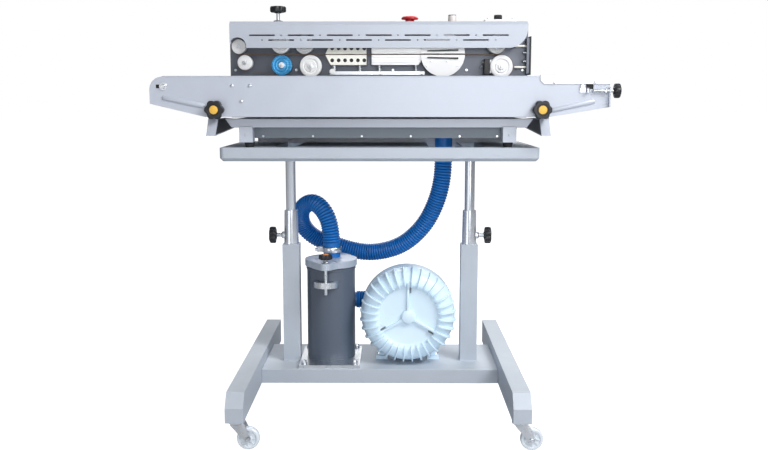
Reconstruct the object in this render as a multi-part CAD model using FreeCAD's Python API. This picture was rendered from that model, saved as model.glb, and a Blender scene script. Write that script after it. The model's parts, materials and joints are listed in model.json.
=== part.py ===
import FreeCAD, Part
import math
import os
from FreeCAD import Vector, Rotation, Placement

# Continuous band sealer with an air-suction set, on a height-adjustable castered stand.
# Millimetres. +X runs along the conveyor to its discharge end, +Y points to the back,
# +Z is up. The stand is drawn about the middle of its two columns; the export moves
# everything so that the origin is on the floor, below the middle of the whole machine.

ORIGIN_X = 11.0
ORIGIN_Y = -38.5

# Running clearances
FIT = 0.05
GAP = 0.3

# Stand
FOOT_X = 296.0
FOOT_WIDTH = 38.0
FOOT_FRONT = -362.0
FOOT_BACK = 285.0
FOOT_BOTTOM = 66.0
FOOT_TOP = 126.0
FOOT_WALL = 2.5
NOSE_DROP = 29.0
NOSE_RUN = 22.0
BEAM_FRONT = -93.0
BEAM_BACK = 131.0
BEAM_TOP = 99.0
COLUMN_X = 213.0
COLUMN_SIDE = 40.0
COLUMN_WALL = 2.0
COLUMN_TOP = 383.0
SLEEVE_TOP = 464.0
SLEEVE_R_LOW = 17.5
SLEEVE_R_TOP = 15.8
INNER_R = 11.8
INNER_BOTTOM = 300.0
LOCK_Z = 404.0
LOCK_KNOB_FACE = 37.0
LOCK_SCREW_R = 4.5

# Casters
WHEEL_R = 24.0
WHEEL_WIDTH = 17.0
CASTER_TRAIL = 24.0
CASTER_FRONT_Y = -330.0
CASTER_BACK_Y = 255.0

# Shelf
SHELF_HALF = 353.0
SHELF_FRONT = -155.0
SHELF_BACK = 205.0
SHELF_BOTTOM = 590.0
SHELF_TOP = 620.0
SHELF_WALL = 2.5
SHELF_LIP = 7.0

# Sealer base and head
BASE_LEFT = -342.0
BASE_RIGHT = 340.0
BASE_FRONT = -130.0
BASE_BACK = 190.0
BASE_TOP = 683.0
RAIL_BOTTOM = 664.0
PANEL_Y = 40.0
HEAD_LEFT = -357.0
HEAD_RIGHT = 350.0
HEAD_BACK = 186.0
HEAD_TOP = 903.0
SEAL_Z = 830.0
BAND_THICK = 0.8
BAND_FRONT = 7.0
BAND_WIDTH = 15.0
BAND_SPACE = GAP + BAND_THICK + 0.1
BLOCK_HEIGHT = 23.0
CODER_X = 146.0
CODER_R = 51.5
CODER_FRONT = -5.0
CODER_WHEEL_R = 19.0
GUARD_FRONT = -12.0
GUARD_BOTTOM = 844.0
GUARD_TOP = 905.0
SLOT_PITCH = 90.2
SLOT_LENGTH = 60.6
SLOT_HEIGHT = 3.4
SLOT_ROWS = ((873.0, -304.0, 7), (862.0, -259.4, 6))

# Conveyor
CONVEYOR_HALF = 500.0
STAR_X = (-357.0, 352.0)
STAR_Z = 703.0
CONVEYOR_FRONT = -160.0
CONVEYOR_BACK = -18.0
CONVEYOR_TOP = 774.5
CONVEYOR_BOTTOM = 687.6
BELT_ROLLER_R = 20.0
ROLLER_Z = 753.5
NOSE_R = 28.0
ROLLER_LEFT_X = -470.0
ROLLER_RIGHT_X = 440.0
TENSION_Y = CONVEYOR_FRONT - 4.5
TENSION_Z = 744.0

# Suction set
CAN_X = -119.0
CAN_Y = 10.0
CAN_R = 58.0
CAN_WALL = 3.0
CAN_BOTTOM = 107.0
CAN_TOP = 330.0
LID_R = 62.5
LID_TOP = 346.0
CAN_BOLT_X = CAN_X - 8
CAN_BOLT_Y = CAN_Y - LID_R - 8
OUTLET_X = -118.0
OUTLET_Y = 32.0
BLOWER_X = 66.5
BLOWER_Z = 218.6
BLOWER_R = 115.5
BLOWER_FRONT = -76.0
FINS = 32
HOSE_D = 43.0
HOSE_BORE = 36.0
HOSE_WALL = 2.0
SPIGOT = 28.0
PORT_Y = 48.0
PORT_Z = 236.0

HOSE_ROUTE = [
    (-118, 32, 346), (-118, 32, 398), (-130, 37, 450), (-164, 62, 481), (-200, 94, 458),
    (-202, 124, 412), (-166, 134, 374), (-110, 127, 358), (-52, 115, 343), (0, 100, 346),
    (58, 79, 368), (106, 57, 416), (134, 44, 471), (149, 35, 528), (152, 32, 583), (152, 32, 640),
]


def block(x0, x1, y0, y1, z0, z1):
    return Part.makeBox(x1 - x0, y1 - y0, z1 - z0, Vector(x0, y0, z0))


def rod(radius, start, end):
    a = Vector(*start)
    b = Vector(*end)
    return Part.makeCylinder(radius, (b - a).Length, a, b - a)


def tube(radius, bore, start, end):
    a = Vector(*start)
    run = Vector(*end) - a
    over = Vector(run).normalize()
    return rod(radius, start, end).cut(Part.makeCylinder(bore, run.Length + 2.0, a - over, run))


def cone(radius_low, radius_top, x, y, z0, z1):
    return Part.makeCone(radius_low, radius_top, z1 - z0, Vector(x, y, z0))


def prism(points, direction):
    ring = [Vector(*p) for p in points]
    return Part.Face(Part.makePolygon(ring + [ring[0]])).extrude(Vector(*direction))


def join(shapes):
    first = shapes[0]
    return first.multiFuse(shapes[1:]).removeSplitter() if len(shapes) > 1 else first


def trim(shape, tools):
    for tool in tools:
        shape = shape.cut(tool)
    return shape


def frame_of(origin, axis):
    turn = Rotation(Vector(0, 0, 1), Vector(*axis))
    return Placement(Vector(*origin), turn)


def star_knob(origin, axis, radius, height, lobes, stem_r, stem_length):
    """A lobed hand knob whose screw runs back from its base, against the axis."""
    body = Part.makeCylinder(radius, height)
    notch_r = radius * 0.34
    for i in range(lobes):
        a = math.radians(360.0 / lobes * (i + 0.5))
        spot = Vector(math.cos(a), math.sin(a), 0) * (radius * 1.08)
        body = body.cut(Part.makeCylinder(notch_r, height + 2, spot - Vector(0, 0, 1)))
    hub = Part.makeCylinder(radius * 0.45, 4.0, Vector(0, 0, -4.0))
    stem = Part.makeCylinder(stem_r, stem_length - 4.0, Vector(0, 0, -stem_length))
    knob = join([body, hub, stem])
    knob.Placement = frame_of(origin, axis)
    return knob


def hull_face(circles, offset, y):
    """The face inside a belt that runs round circles given anticlockwise in X and Z."""
    tangents = []
    count = len(circles)
    for i in range(count):
        xi, zi, ri = circles[i]
        xj, zj, rj = circles[(i + 1) % count]
        run = Vector(xj - xi, 0, zj - zi)
        gap = run.Length
        run.normalize()
        lean = (ri - rj) / gap
        side = Vector(run.z, 0, -run.x)
        normal = side * math.sqrt(1 - lean * lean) + run * lean
        tangents.append((Vector(xi, y, zi) + normal * (ri + offset),
                         Vector(xj, y, zj) + normal * (rj + offset), normal))
    edges = []
    for i in range(count):
        start, end, normal = tangents[i]
        edges.append(Part.LineSegment(start, end).toShape())
        after, _, turned = tangents[(i + 1) % count]
        xj, zj, rj = circles[(i + 1) % count]
        middle = normal + turned
        if middle.Length < 0.2:
            middle = Vector(-normal.z, 0, normal.x)
        middle.normalize()
        apex = Vector(xj, y, zj) + middle * (rj + offset)
        if (after - end).Length > 0.01:
            edges.append(Part.Arc(end, apex, after).toShape())
    return Part.Face(Part.Wire(edges))


def belt_loop(circles, gap, thick, y0, width):
    outer = hull_face(circles, gap + thick, y0).extrude(Vector(0, width, 0))
    inner = hull_face(circles, gap, y0 - 1).extrude(Vector(0, width + 2, 0))
    return outer.cut(inner)


# ---------------------------------------------------------------- stand

def foot(x):
    x0 = x - FOOT_WIDTH / 2
    profile = [(FOOT_BACK, FOOT_BOTTOM), (FOOT_BACK, FOOT_TOP), (FOOT_FRONT + NOSE_RUN, FOOT_TOP),
               (FOOT_FRONT, FOOT_TOP - NOSE_DROP), (FOOT_FRONT, FOOT_BOTTOM)]
    outer = prism([(x0, y, z) for y, z in profile], (FOOT_WIDTH, 0, 0))
    w = FOOT_WALL
    inside = [(FOOT_BACK - w, FOOT_BOTTOM + w), (FOOT_BACK - w, FOOT_TOP - w),
              (FOOT_FRONT + NOSE_RUN + 1, FOOT_TOP - w), (FOOT_FRONT + w, FOOT_TOP - NOSE_DROP - 1),
              (FOOT_FRONT + w, FOOT_BOTTOM + w)]
    core = prism([(x0 + w, y, z) for y, z in inside], (FOOT_WIDTH - 2 * w, 0, 0))
    holes = [rod(5.0 + FIT, (x, y, FOOT_BOTTOM - 1), (x, y, FOOT_BOTTOM + w + 1))
             for y in (CASTER_FRONT_Y, CASTER_BACK_Y)]
    return trim(outer.cut(core), holes)


def base_beam():
    half = FOOT_X - FOOT_WIDTH / 2
    outer = block(-half, half, BEAM_FRONT, BEAM_BACK, FOOT_BOTTOM, BEAM_TOP)
    w = FOOT_WALL
    core = block(-half - 1, half + 1, BEAM_FRONT + w, BEAM_BACK - w, FOOT_BOTTOM + w, BEAM_TOP - w)
    return outer.cut(core)


def column(x):
    h = COLUMN_SIDE / 2
    w = COLUMN_WALL
    outer = block(x - h, x + h, -h, h, BEAM_TOP, COLUMN_TOP)
    core = block(x - h + w, x + h - w, -h + w, h - w, BEAM_TOP - 1, COLUMN_TOP - 4)
    bore = rod(SLEEVE_R_LOW, (x, 0, COLUMN_TOP - 6), (x, 0, COLUMN_TOP + 1))
    return trim(outer, [core, bore])


def sleeve(x):
    side = 1 if x > 0 else -1
    low = rod(SLEEVE_R_LOW, (x, 0, INNER_BOTTOM - 60), (x, 0, COLUMN_TOP + 2))
    upper = cone(SLEEVE_R_LOW, SLEEVE_R_TOP, x, 0, COLUMN_TOP + 2, SLEEVE_TOP)
    boss = rod(8.5, (x, 0, LOCK_Z), (x + side * (SLEEVE_R_LOW + 3.5), 0, LOCK_Z))
    body = join([low, upper, boss])
    bore = rod(INNER_R + FIT, (x, 0, INNER_BOTTOM - 61), (x, 0, SLEEVE_TOP + 1))
    screw = rod(LOCK_SCREW_R + FIT, (x, 0, LOCK_Z), (x + side * 40, 0, LOCK_Z))
    return trim(body, [bore, screw])


def column_knob(side):
    x = side * (COLUMN_X + LOCK_KNOB_FACE)
    stem = LOCK_KNOB_FACE - INNER_R - GAP
    return star_knob((x, 0, LOCK_Z), (side, 0, 0), 20.0, 15.0, 6, LOCK_SCREW_R, stem)


def caster_fork(x, y):
    head = rod(16.0, (x, y, FOOT_BOTTOM - 9), (x, y, FOOT_BOTTOM - 0.5))
    stem = rod(5.0, (x, y, FOOT_BOTTOM - 1), (x, y, FOOT_BOTTOM + FOOT_WALL + 6))
    nut = rod(8.0, (x, y, FOOT_BOTTOM + FOOT_WALL + 0.5), (x, y, FOOT_BOTTOM + FOOT_WALL + 6))
    axle_x = x + CASTER_TRAIL
    parts = [head, stem, nut]
    for s in (-1, 1):
        y0 = y + s * (WHEEL_WIDTH / 2 + 1.0)
        y1 = y0 + s * 2.5
        cheek = [(x - 13, FOOT_BOTTOM - 2), (x + 14, FOOT_BOTTOM - 2), (axle_x + 7, WHEEL_R + 2),
                 (axle_x + 4, WHEEL_R - 6), (axle_x - 5, WHEEL_R - 6), (x - 12, FOOT_BOTTOM - 12)]
        parts.append(prism([(px, min(y0, y1), pz) for px, pz in cheek], (0, 2.5, 0)))
    bridge = block(x - 13, x + 14, y - WHEEL_WIDTH / 2 - 1, y + WHEEL_WIDTH / 2 + 1,
                   FOOT_BOTTOM - 9, FOOT_BOTTOM - 2)
    reach = WHEEL_WIDTH / 2 + 6
    axle = rod(3.0, (axle_x, y - reach, WHEEL_R), (axle_x, y + reach, WHEEL_R))
    return join(parts + [bridge, axle])


def caster_wheel(x, y):
    cx = x + CASTER_TRAIL
    half = WHEEL_WIDTH / 2
    tyre = rod(WHEEL_R, (cx, y - half, WHEEL_R), (cx, y + half, WHEEL_R))
    dishes = [tube(18.0, 7.0, (cx, y + s * half, WHEEL_R), (cx, y + s * (half - 4), WHEEL_R))
              for s in (-1, 1)]
    bore = rod(3.0 + FIT, (cx, y - half - 1, WHEEL_R), (cx, y + half + 1, WHEEL_R))
    return trim(tyre, dishes + [bore])


# ---------------------------------------------------------------- shelf

def plan_block(x0, x1, y0, y1, z0, z1, corner):
    body = block(x0, x1, y0, y1, z0, z1)
    upright = [e for e in body.Edges if abs(e.tangentAt(e.FirstParameter).z) > 0.9]
    return body.makeFillet(corner, upright)


def tray(x0, x1, y0, y1, z0, z1, corner, lip):
    body = plan_block(x0, x1, y0, y1, z0, z1, corner)
    low = [e for e in body.Edges if abs(e.BoundBox.ZMax - z0) < 0.01]
    return body.makeChamfer(lip, low)


def channel(x):
    outer = block(x - 25, x + 25, -130, 160, 598, SHELF_TOP - SHELF_WALL)
    return outer.cut(block(x - 23, x + 23, -131, 161, 600.5, SHELF_TOP))


SHELF_HOLES = ((-236, -190, -118, 150), (190, 236, -118, 150), (112, 186, -118, 120))


def shelf():
    w = SHELF_WALL
    outer = tray(-SHELF_HALF, SHELF_HALF, SHELF_FRONT, SHELF_BACK, SHELF_BOTTOM, SHELF_TOP,
                 12.0, SHELF_LIP)
    core = tray(-SHELF_HALF + w, SHELF_HALF - w, SHELF_FRONT + w, SHELF_BACK - w,
                SHELF_BOTTOM - 0.5, SHELF_TOP - w, 9.5, SHELF_LIP)
    under = block(-SHELF_HALF + 9, SHELF_HALF - 9, SHELF_FRONT + 9, SHELF_BACK - 9,
                  SHELF_BOTTOM - 1, SHELF_BOTTOM + 3)
    body = trim(outer, [core, under])
    body = join([body, channel(-COLUMN_X), channel(COLUMN_X)])
    holes = [block(x0, x1, y0, y1, SHELF_TOP - w - 1, SHELF_TOP + 1) for x0, x1, y0, y1 in SHELF_HOLES]
    return trim(body, holes)


def inner_tube(x):
    plate = block(x - 21, x + 21, -30, 30, 594, 598)
    post = rod(INNER_R, (x, 0, INNER_BOTTOM), (x, 0, 595))
    bore = rod(INNER_R - 2, (x, 0, INNER_BOTTOM - 1), (x, 0, 592))
    return join([post, plate]).cut(bore)


# ---------------------------------------------------------------- sealer base

LEG_SPOTS = ((-311, -281), (273, 303))


def chassis():
    w = 2.5
    rail = [(BASE_LEFT, BASE_TOP), (BASE_RIGHT, BASE_TOP), (BASE_RIGHT - 14, RAIL_BOTTOM),
            (BASE_LEFT + 14, RAIL_BOTTOM)]
    front = prism([(x, BASE_FRONT, z) for x, z in rail], (0, 30, 0))
    back = prism([(x, BASE_BACK - 30, z) for x, z in rail], (0, 30, 0))
    deck = block(BASE_LEFT + 20, BASE_RIGHT - 20, BASE_FRONT, BASE_BACK, BASE_TOP - w, BASE_TOP)
    pan = block(-300, 298, -100, 168, 640, BASE_TOP - w)
    pan = pan.cut(block(-298, 296, -98, 166, 642, BASE_TOP))
    under_pan = block(-270, 266, 62, 164, 625.5, 642)
    parts = [front, back, deck, pan, under_pan]
    for x0, x1 in LEG_SPOTS:
        for y0 in (-134, 152):
            parts.append(block(x0, x1, y0, y0 + 32, 631, RAIL_BOTTOM + 2))
    x, y, top = HOSE_ROUTE[-1]
    spigot = rod(HOSE_BORE / 2, (x, y, top - SPIGOT), (x, y, top + 1))
    bore = rod(HOSE_BORE / 2 - HOSE_WALL, (x, y, top - SPIGOT - 1), (x, y, top + 3))
    return trim(join(parts + [spigot]), [bore])


def rubber_foot(x, y):
    return cone(9.0, 12.0, x, y, SHELF_TOP, 631)


def conveyor_bracket(side):
    """Folded bracket: leaning front strip, dark web and sole, and the slotted tab above it."""
    x0 = -374.0 if side < 0 else 350.0
    inner_edge = -354.0 if side < 0 else 350.0
    web_x = inner_edge - 3 if side < 0 else inner_edge
    star_x = STAR_X[0] if side < 0 else STAR_X[1]
    web = [(-184, 648), (58, 659), (58, 680), (-60, 684), (-148, 684)]
    shapes = [prism([(web_x, y, z) for y, z in web], (3, 0, 0))]
    strip = [(-186, 647), (-182, 647), (-150, 686), (-150, 690), (-153, 690), (-153, 687)]
    shapes.append(prism([(x0, y, z) for y, z in strip], (20, 0, 0)))
    shapes.append(prism([(x0, y, z) for y, z in ((-186, 647), (58, 658), (58, 661), (-186, 650))],
                        (20, 0, 0)))
    low = min(x0, star_x - 11)
    high = max(x0 + 20, star_x + 11)
    shapes.append(block(low, high, -153, -150, 688.5, 746))
    arm_x = sorted((-300.0 if side < 0 else 298.0, web_x + 1.5))
    shapes.append(block(arm_x[0], arm_x[1], 30, 58, 659, 664))
    slot = block(star_x - 5, star_x + 5, -160, -140, STAR_Z - 5.5, STAR_Z + 35.5)
    return join(shapes).cut(slot)


# ---------------------------------------------------------------- head

UPPER_WHEELS = {
    "upper_idler": (-330.6, 17.0),
    "upper_feed_wheel": (-232.0, 22.0),
    "upper_press_wheel": (-177.3, 22.0),
    "upper_end_wheel": (271.6, 22.0),
}
LOWER_WHEELS = {
    "lower_idler": (-317.1, 17.5),
    "feed_wheel": (-231.0, 23.6),
    "press_wheel": (-162.9, 25.5),
    "lower_end_wheel": (284.1, 26.5),
}


def wheel_centre(name):
    """X, Z and radius: every band wheel just touches its band at the sealing plane."""
    if name in UPPER_WHEELS:
        x, r = UPPER_WHEELS[name]
        return x, SEAL_Z + BAND_SPACE + r, r
    x, r = LOWER_WHEELS[name]
    return x, SEAL_Z - BAND_SPACE - r, r


def band_wheel(name):
    x, z, r = wheel_centre(name)
    y0 = BAND_FRONT - 3.0
    y1 = BAND_FRONT + BAND_WIDTH + 2.0
    body = rod(r, (x, y0, z), (x, y1, z))
    groove = tube(r * 0.72, r * 0.38, (x, y0 - 1, z), (x, y0 + 3, z))
    hub = rod(8.0, (x, y1 - 1, z), (x, PANEL_Y - GAP, z))
    shaft = rod(5.0, (x, y0 - 2, z), (x, PANEL_Y + 46, z))
    sprocket = rod(12.0, (x, PANEL_Y + 38, z), (x, PANEL_Y + 42, z))
    return join([body.cut(groove), hub, shaft, sprocket])


def coding_wheel():
    r = CODER_WHEEL_R
    z = SEAL_Z + BAND_SPACE + r
    body = rod(r, (CODER_X, BAND_FRONT, z), (CODER_X, BAND_FRONT + 18, z))
    shaft = rod(5.0, (CODER_X, BAND_FRONT - 2, z), (CODER_X, PANEL_Y + 46, z))
    return join([body, shaft])


def coder_cover():
    """Two half discs with the bag's slot between them, on four posts from the panel."""
    y0 = CODER_FRONT
    disc = rod(CODER_R, (CODER_X, y0, SEAL_Z), (CODER_X, y0 + 4, SEAL_Z))
    slot = block(CODER_X - 60, CODER_X + 60, y0 - 1, y0 + 5, SEAL_Z - 1.6, SEAL_Z + 1.6)
    disc = disc.cut(slot)
    posts = []
    for dx, dz in ((-34, 30), (34, 30), (-34, -30), (34, -30)):
        posts.append(rod(4.0, (CODER_X + dx, y0 + 3, SEAL_Z + dz), (CODER_X + dx, PANEL_Y, SEAL_Z + dz)))
    solids = []
    for half in disc.Solids:
        own = [p for p in posts if (p.CenterOfMass.z - SEAL_Z) * (half.CenterOfMass.z - SEAL_Z) > 0]
        solids.append(join([half] + own))
    return Part.makeCompound(solids)


def bands():
    upper = [wheel_centre(n) for n in ("upper_idler", "upper_end_wheel", "upper_press_wheel",
                                       "upper_feed_wheel")]
    lower = [wheel_centre(n) for n in ("lower_idler", "feed_wheel", "press_wheel", "lower_end_wheel")]
    loops = [belt_loop(ring, GAP, BAND_THICK, BAND_FRONT, BAND_WIDTH) for ring in (upper, lower)]
    return Part.makeCompound(loops)


def press_block(x0, x1, lean0, lean1, holes):
    """An upper and a lower block that squeeze the bands between them."""
    solids = []
    for s in (-1, 1):
        z0 = SEAL_Z + s * (BAND_THICK + 0.5)
        z1 = z0 + s * BLOCK_HEIGHT
        ring = [(x0, z0), (x1, z0), (x1 - lean1, z1), (x0 + lean0, z1)]
        body = prism([(x, 2.0, z) for x, z in ring], (0, 26.0, 0))
        bores = [rod(4.4, (x, 1.0, z0 + s * 12.5), (x, 20.0, z0 + s * 12.5)) for x in holes]
        stem = rod(5.0, ((x0 + x1) / 2, 27.0, z0 + s * 12), ((x0 + x1) / 2, PANEL_Y, z0 + s * 12))
        solids.append(join([trim(body, bores), stem]))
    return Part.makeCompound(solids)


def heating_blocks():
    holes = [-112.0 + 15.0 * i for i in range(6)]
    return press_block(-128.0, -32.0, 12.0, 0.0, holes)


def cooling_blocks():
    return press_block(-20.0, 102.0, 0.0, 12.0, [])


def block_rail():
    """The bar under the lower blocks, with the spring posts that push them up."""
    bar = block(-118, 104, 4, 24, 783, 791)
    under = SEAL_Z - BAND_THICK - 0.5 - BLOCK_HEIGHT
    posts = [rod(3.2, (x, 14, 790), (x, 14, under)) for x in (-108, -48, -2, 84)]
    arms = [block(x - 5, x + 5, 22, PANEL_Y, 783, 791) for x in (-100, 90)]
    return join([bar] + posts + arms)


def head_panel():
    plate = block(HEAD_LEFT, HEAD_RIGHT, PANEL_Y, PANEL_Y + 3, BASE_TOP, HEAD_TOP)
    bores = []
    for name in list(UPPER_WHEELS) + list(LOWER_WHEELS):
        x, z, _ = wheel_centre(name)
        bores.append(rod(5.0 + FIT, (x, PANEL_Y - 1, z), (x, PANEL_Y + 8, z)))
    coder_z = SEAL_Z + BAND_SPACE + CODER_WHEEL_R
    bores.append(rod(5.0 + FIT, (CODER_X, PANEL_Y - 1, coder_z), (CODER_X, PANEL_Y + 8, coder_z)))
    end = block(HEAD_RIGHT - 6, HEAD_RIGHT, PANEL_Y - 26, PANEL_Y + 1, 786, 868)
    tie_rods = [rod(2.2, (x, 25, z), (HEAD_RIGHT + 4, 25, z)) for x, z in ((318, 850), (322, 801))]
    feet = [block(x - 3, x + 3, 23, PANEL_Y + 1, z - 4, z + 4) for x, z in ((320, 850), (324, 801))]
    return trim(join([plate, end] + tie_rods + feet), bores)


def head_housing():
    w = 2.0
    y0 = PANEL_Y + 3
    shell = block(HEAD_LEFT, HEAD_RIGHT, y0, HEAD_BACK, BASE_TOP, HEAD_TOP)
    core = block(HEAD_LEFT + w, HEAD_RIGHT - w, y0 - 1, HEAD_BACK - w, BASE_TOP + w, HEAD_TOP - w)
    body = shell.cut(core)
    lamp = join([rod(6.0, (174, 100, HEAD_TOP - 6), (174, 100, HEAD_TOP + 1)),
                 rod(9.5, (174, 100, HEAD_TOP), (174, 100, HEAD_TOP + 26))])
    lamp_hole = rod(6.0, (174, 100, HEAD_TOP - 8), (174, 100, HEAD_TOP))
    stop_collar = tube(17.0, 11.0 + FIT, (71, 100, HEAD_TOP), (71, 100, HEAD_TOP + 8))
    stop_hole = rod(11.0 + FIT, (71, 100, HEAD_TOP - 5), (71, 100, HEAD_TOP + 1))
    tension_plate = block(252, 326, 74, 126, HEAD_TOP, HEAD_TOP + 13)
    tension_hole = rod(5.0 + FIT, (285, 100, HEAD_TOP - 5), (285, 100, HEAD_TOP + 14))
    press_boss = rod(11.0, (-244.7, 64, HEAD_TOP - 1), (-244.7, 64, HEAD_TOP + 9))
    press_hole = rod(4.0 + FIT, (-244.7, 64, HEAD_TOP - 5), (-244.7, 64, HEAD_TOP + 14))
    dial_hole = rod(3.0 + FIT, (-60, HEAD_BACK - 5, 850), (-60, HEAD_BACK + 1, 850))
    switch_hole = block(-12, 12, HEAD_BACK - 5, HEAD_BACK + 1, 838, 862)
    body = join([trim(body, [lamp_hole]), stop_collar, tension_plate, press_boss])
    body = trim(body, [stop_hole, tension_hole, press_hole, dial_hole, switch_hole])
    return Part.makeCompound([body, lamp])


def slot_cut(x, z):
    half = SLOT_HEIGHT / 2
    y0 = GUARD_FRONT - 1
    body = block(x + half, x + SLOT_LENGTH - half, y0, y0 + 5, z - half, z + half)
    ends = [rod(half, (e, y0, z), (e, y0 + 5, z)) for e in (x + half, x + SLOT_LENGTH - half)]
    return join([body] + ends)


def guard():
    """Sheet cover in front of the upper wheels: front, leaning top edge, top and two ends."""
    left = HEAD_LEFT + 8
    right = HEAD_RIGHT - 8
    length = right - left
    w = 2.0
    y0 = GUARD_FRONT
    outer = [(y0, GUARD_BOTTOM), (y0, GUARD_TOP - 8), (y0 + 8, GUARD_TOP), (PANEL_Y, GUARD_TOP),
             (PANEL_Y, GUARD_BOTTOM)]
    inner = [(y0 + w, GUARD_BOTTOM - 1), (y0 + w, GUARD_TOP - 9), (y0 + 9, GUARD_TOP - w),
             (PANEL_Y + 1, GUARD_TOP - w), (PANEL_Y + 1, GUARD_BOTTOM - 1)]
    body = prism([(left, y, z) for y, z in outer], (length, 0, 0))
    body = body.cut(prism([(left + w, y, z) for y, z in inner], (length - 2 * w, 0, 0)))
    body = body.cut(block(left - 1, left + w + 1, 0, PANEL_Y + 1, GUARD_BOTTOM - 1, GUARD_TOP - 20))
    body = body.cut(block(right - w - 1, right + 1, 0, PANEL_Y + 1, GUARD_BOTTOM - 1, GUARD_TOP - 20))
    for x, radius in ((left, 16.0), (right, 44.0)):
        side = 1 if x < 0 else -1
        square = block(min(x, x + side * radius), max(x, x + side * radius), y0 - 1, PANEL_Y + 1,
                       GUARD_BOTTOM - 1, GUARD_BOTTOM + radius)
        centre = (x + side * radius, GUARD_BOTTOM + radius)
        round_bar = rod(radius, (centre[0], y0 - 2, centre[1]), (centre[0], PANEL_Y + 2, centre[1]))
        body = body.cut(square.cut(round_bar))
    x, z, _ = wheel_centre("upper_idler")
    cuts = [rod(20.0, (x, y0 - 1, z), (x, y0 + w + 1, z)),
            block(left - 1, x, y0 - 1, y0 + w + 1, GUARD_BOTTOM - 1, z)]
    for z, start, count in SLOT_ROWS:
        other = SLOT_ROWS[0][0] + SLOT_ROWS[1][0] - z
        for i in range(count):
            x = start + SLOT_PITCH * i
            cuts.append(slot_cut(x, z))
            cuts.append(rod(1.6, (x + SLOT_LENGTH / 2, y0 - 1, other), (x + SLOT_LENGTH / 2, y0 + 4, other)))
    return trim(body, cuts)


def drive_unit():
    """Gear motor and control transformer on the housing floor, with the cooling fan."""
    motor = rod(34.0, (-180, 116, 722), (-70, 116, 722))
    gearbox = block(-240, -182, 88, 148, 690, 756)
    shaft = rod(6.0, (-211, 88.5, 735), (-211, 70, 735))
    saddle = block(-170, -80, 96, 136, BASE_TOP + 2, 692)
    transformer = block(60, 130, 90, 160, BASE_TOP + 2, 750)
    fan = block(180, 260, 150, 175, 700, 780)
    bracket = block(180, 260, 145, 180, BASE_TOP + 2, 700)
    return Part.makeCompound([join([motor, gearbox, shaft, saddle]), transformer, join([fan, bracket])])


# ---------------------------------------------------------------- conveyor

def side_plate(y0, thick):
    h = CONVEYOR_HALF
    top = CONVEYOR_TOP
    low = CONVEYOR_BOTTOM
    nose_z = top - NOSE_R
    ring = [(-h, 716), (-380, low), (370, low), (h, 709), (h, top), (-h + NOSE_R, top),
            (-h + NOSE_R, nose_z), (-h, nose_z)]
    body = prism([(x, y0, z) for x, z in ring], (0, thick, 0))
    nose = rod(NOSE_R, (-h + NOSE_R, y0, nose_z), (-h + NOSE_R, y0 + thick, nose_z))
    return join([body, nose])


def conveyor_frame():
    front = side_plate(CONVEYOR_FRONT, 3.0)
    back = side_plate(CONVEYOR_BACK - 3.0, 3.0)
    cross = [block(x - 12, x + 12, CONVEYOR_FRONT + 3, CONVEYOR_BACK - 3, 700, 712) for x in (-200, 0, 200)]
    bed_top = ROLLER_Z + BELT_ROLLER_R
    bed = block(-440, 408, CONVEYOR_FRONT + 3, CONVEYOR_BACK - 3, bed_top - 2.5, bed_top)
    flange = block(CONVEYOR_HALF - 3, CONVEYOR_HALF, CONVEYOR_FRONT - 9, CONVEYOR_FRONT + 1, 709, 752)
    slots = []
    for y in (CONVEYOR_FRONT, CONVEYOR_BACK - 3):
        for x in (ROLLER_LEFT_X, ROLLER_RIGHT_X):
            slots.append(rod(6.0 + FIT, (x, y - 1, ROLLER_Z), (x, y + 4, ROLLER_Z)))
    for x in STAR_X:
        slots.append(rod(4.0 + FIT, (x, CONVEYOR_FRONT - 1, STAR_Z), (x, CONVEYOR_FRONT + 4, STAR_Z)))
    slots.append(block(ROLLER_LEFT_X - 16, ROLLER_LEFT_X - 8, CONVEYOR_FRONT - 1, CONVEYOR_FRONT + 4,
                       ROLLER_Z - 4, ROLLER_Z + 4))
    slots.append(block(ROLLER_RIGHT_X + 8, ROLLER_RIGHT_X + 24, CONVEYOR_FRONT - 1, CONVEYOR_FRONT + 4,
                       ROLLER_Z - 6, ROLLER_Z + 6))
    slots.append(rod(3.5 + FIT, (CONVEYOR_HALF - 5, TENSION_Y, TENSION_Z),
                     (CONVEYOR_HALF + 1, TENSION_Y, TENSION_Z)))
    return trim(join([front, back, flange, bed] + cross), slots)


def conveyor_roller(x):
    y0 = CONVEYOR_FRONT + 6
    y1 = CONVEYOR_BACK - 6
    body = rod(BELT_ROLLER_R, (x, y0, ROLLER_Z), (x, y1, ROLLER_Z))
    axle = rod(6.0, (x, CONVEYOR_FRONT, ROLLER_Z), (x, CONVEYOR_BACK, ROLLER_Z))
    return join([body, axle])


def conveyor_belt():
    ring = [(ROLLER_LEFT_X, ROLLER_Z, BELT_ROLLER_R), (ROLLER_RIGHT_X, ROLLER_Z, BELT_ROLLER_R)]
    y0 = CONVEYOR_FRONT + 12
    return belt_loop(ring, GAP, 2.0, y0, CONVEYOR_BACK - 8 - y0)


def discharge_guard():
    """White cover along the top of the discharge end."""
    ring = [(357, 758.5), (CONVEYOR_HALF, 758.5), (CONVEYOR_HALF, 777.5), (349, 777.5), (349, 766)]
    skirt = prism([(x, CONVEYOR_FRONT - 2.2, z) for x, z in ring], (0, 2.0, 0))
    top = block(349, CONVEYOR_HALF, CONVEYOR_FRONT - 2.2, CONVEYOR_FRONT + 5, 775.5, 777.5)
    screws = [rod(2.6, (x, CONVEYOR_FRONT - 3.6, 763), (x, CONVEYOR_FRONT - 1, 763)) for x in (380, 468)]
    return join([skirt, top] + screws)


def tension_knob():
    return star_knob((CONVEYOR_HALF + 8, TENSION_Y, TENSION_Z), (1, 0, 0), 16.0, 14.0, 4, 3.5, 46)


def conveyor_star(x):
    return star_knob((x, CONVEYOR_FRONT - 4.3, STAR_Z), (0, -1, 0), 21.5, 22.0, 6, 4.0, 21.0)


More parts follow.
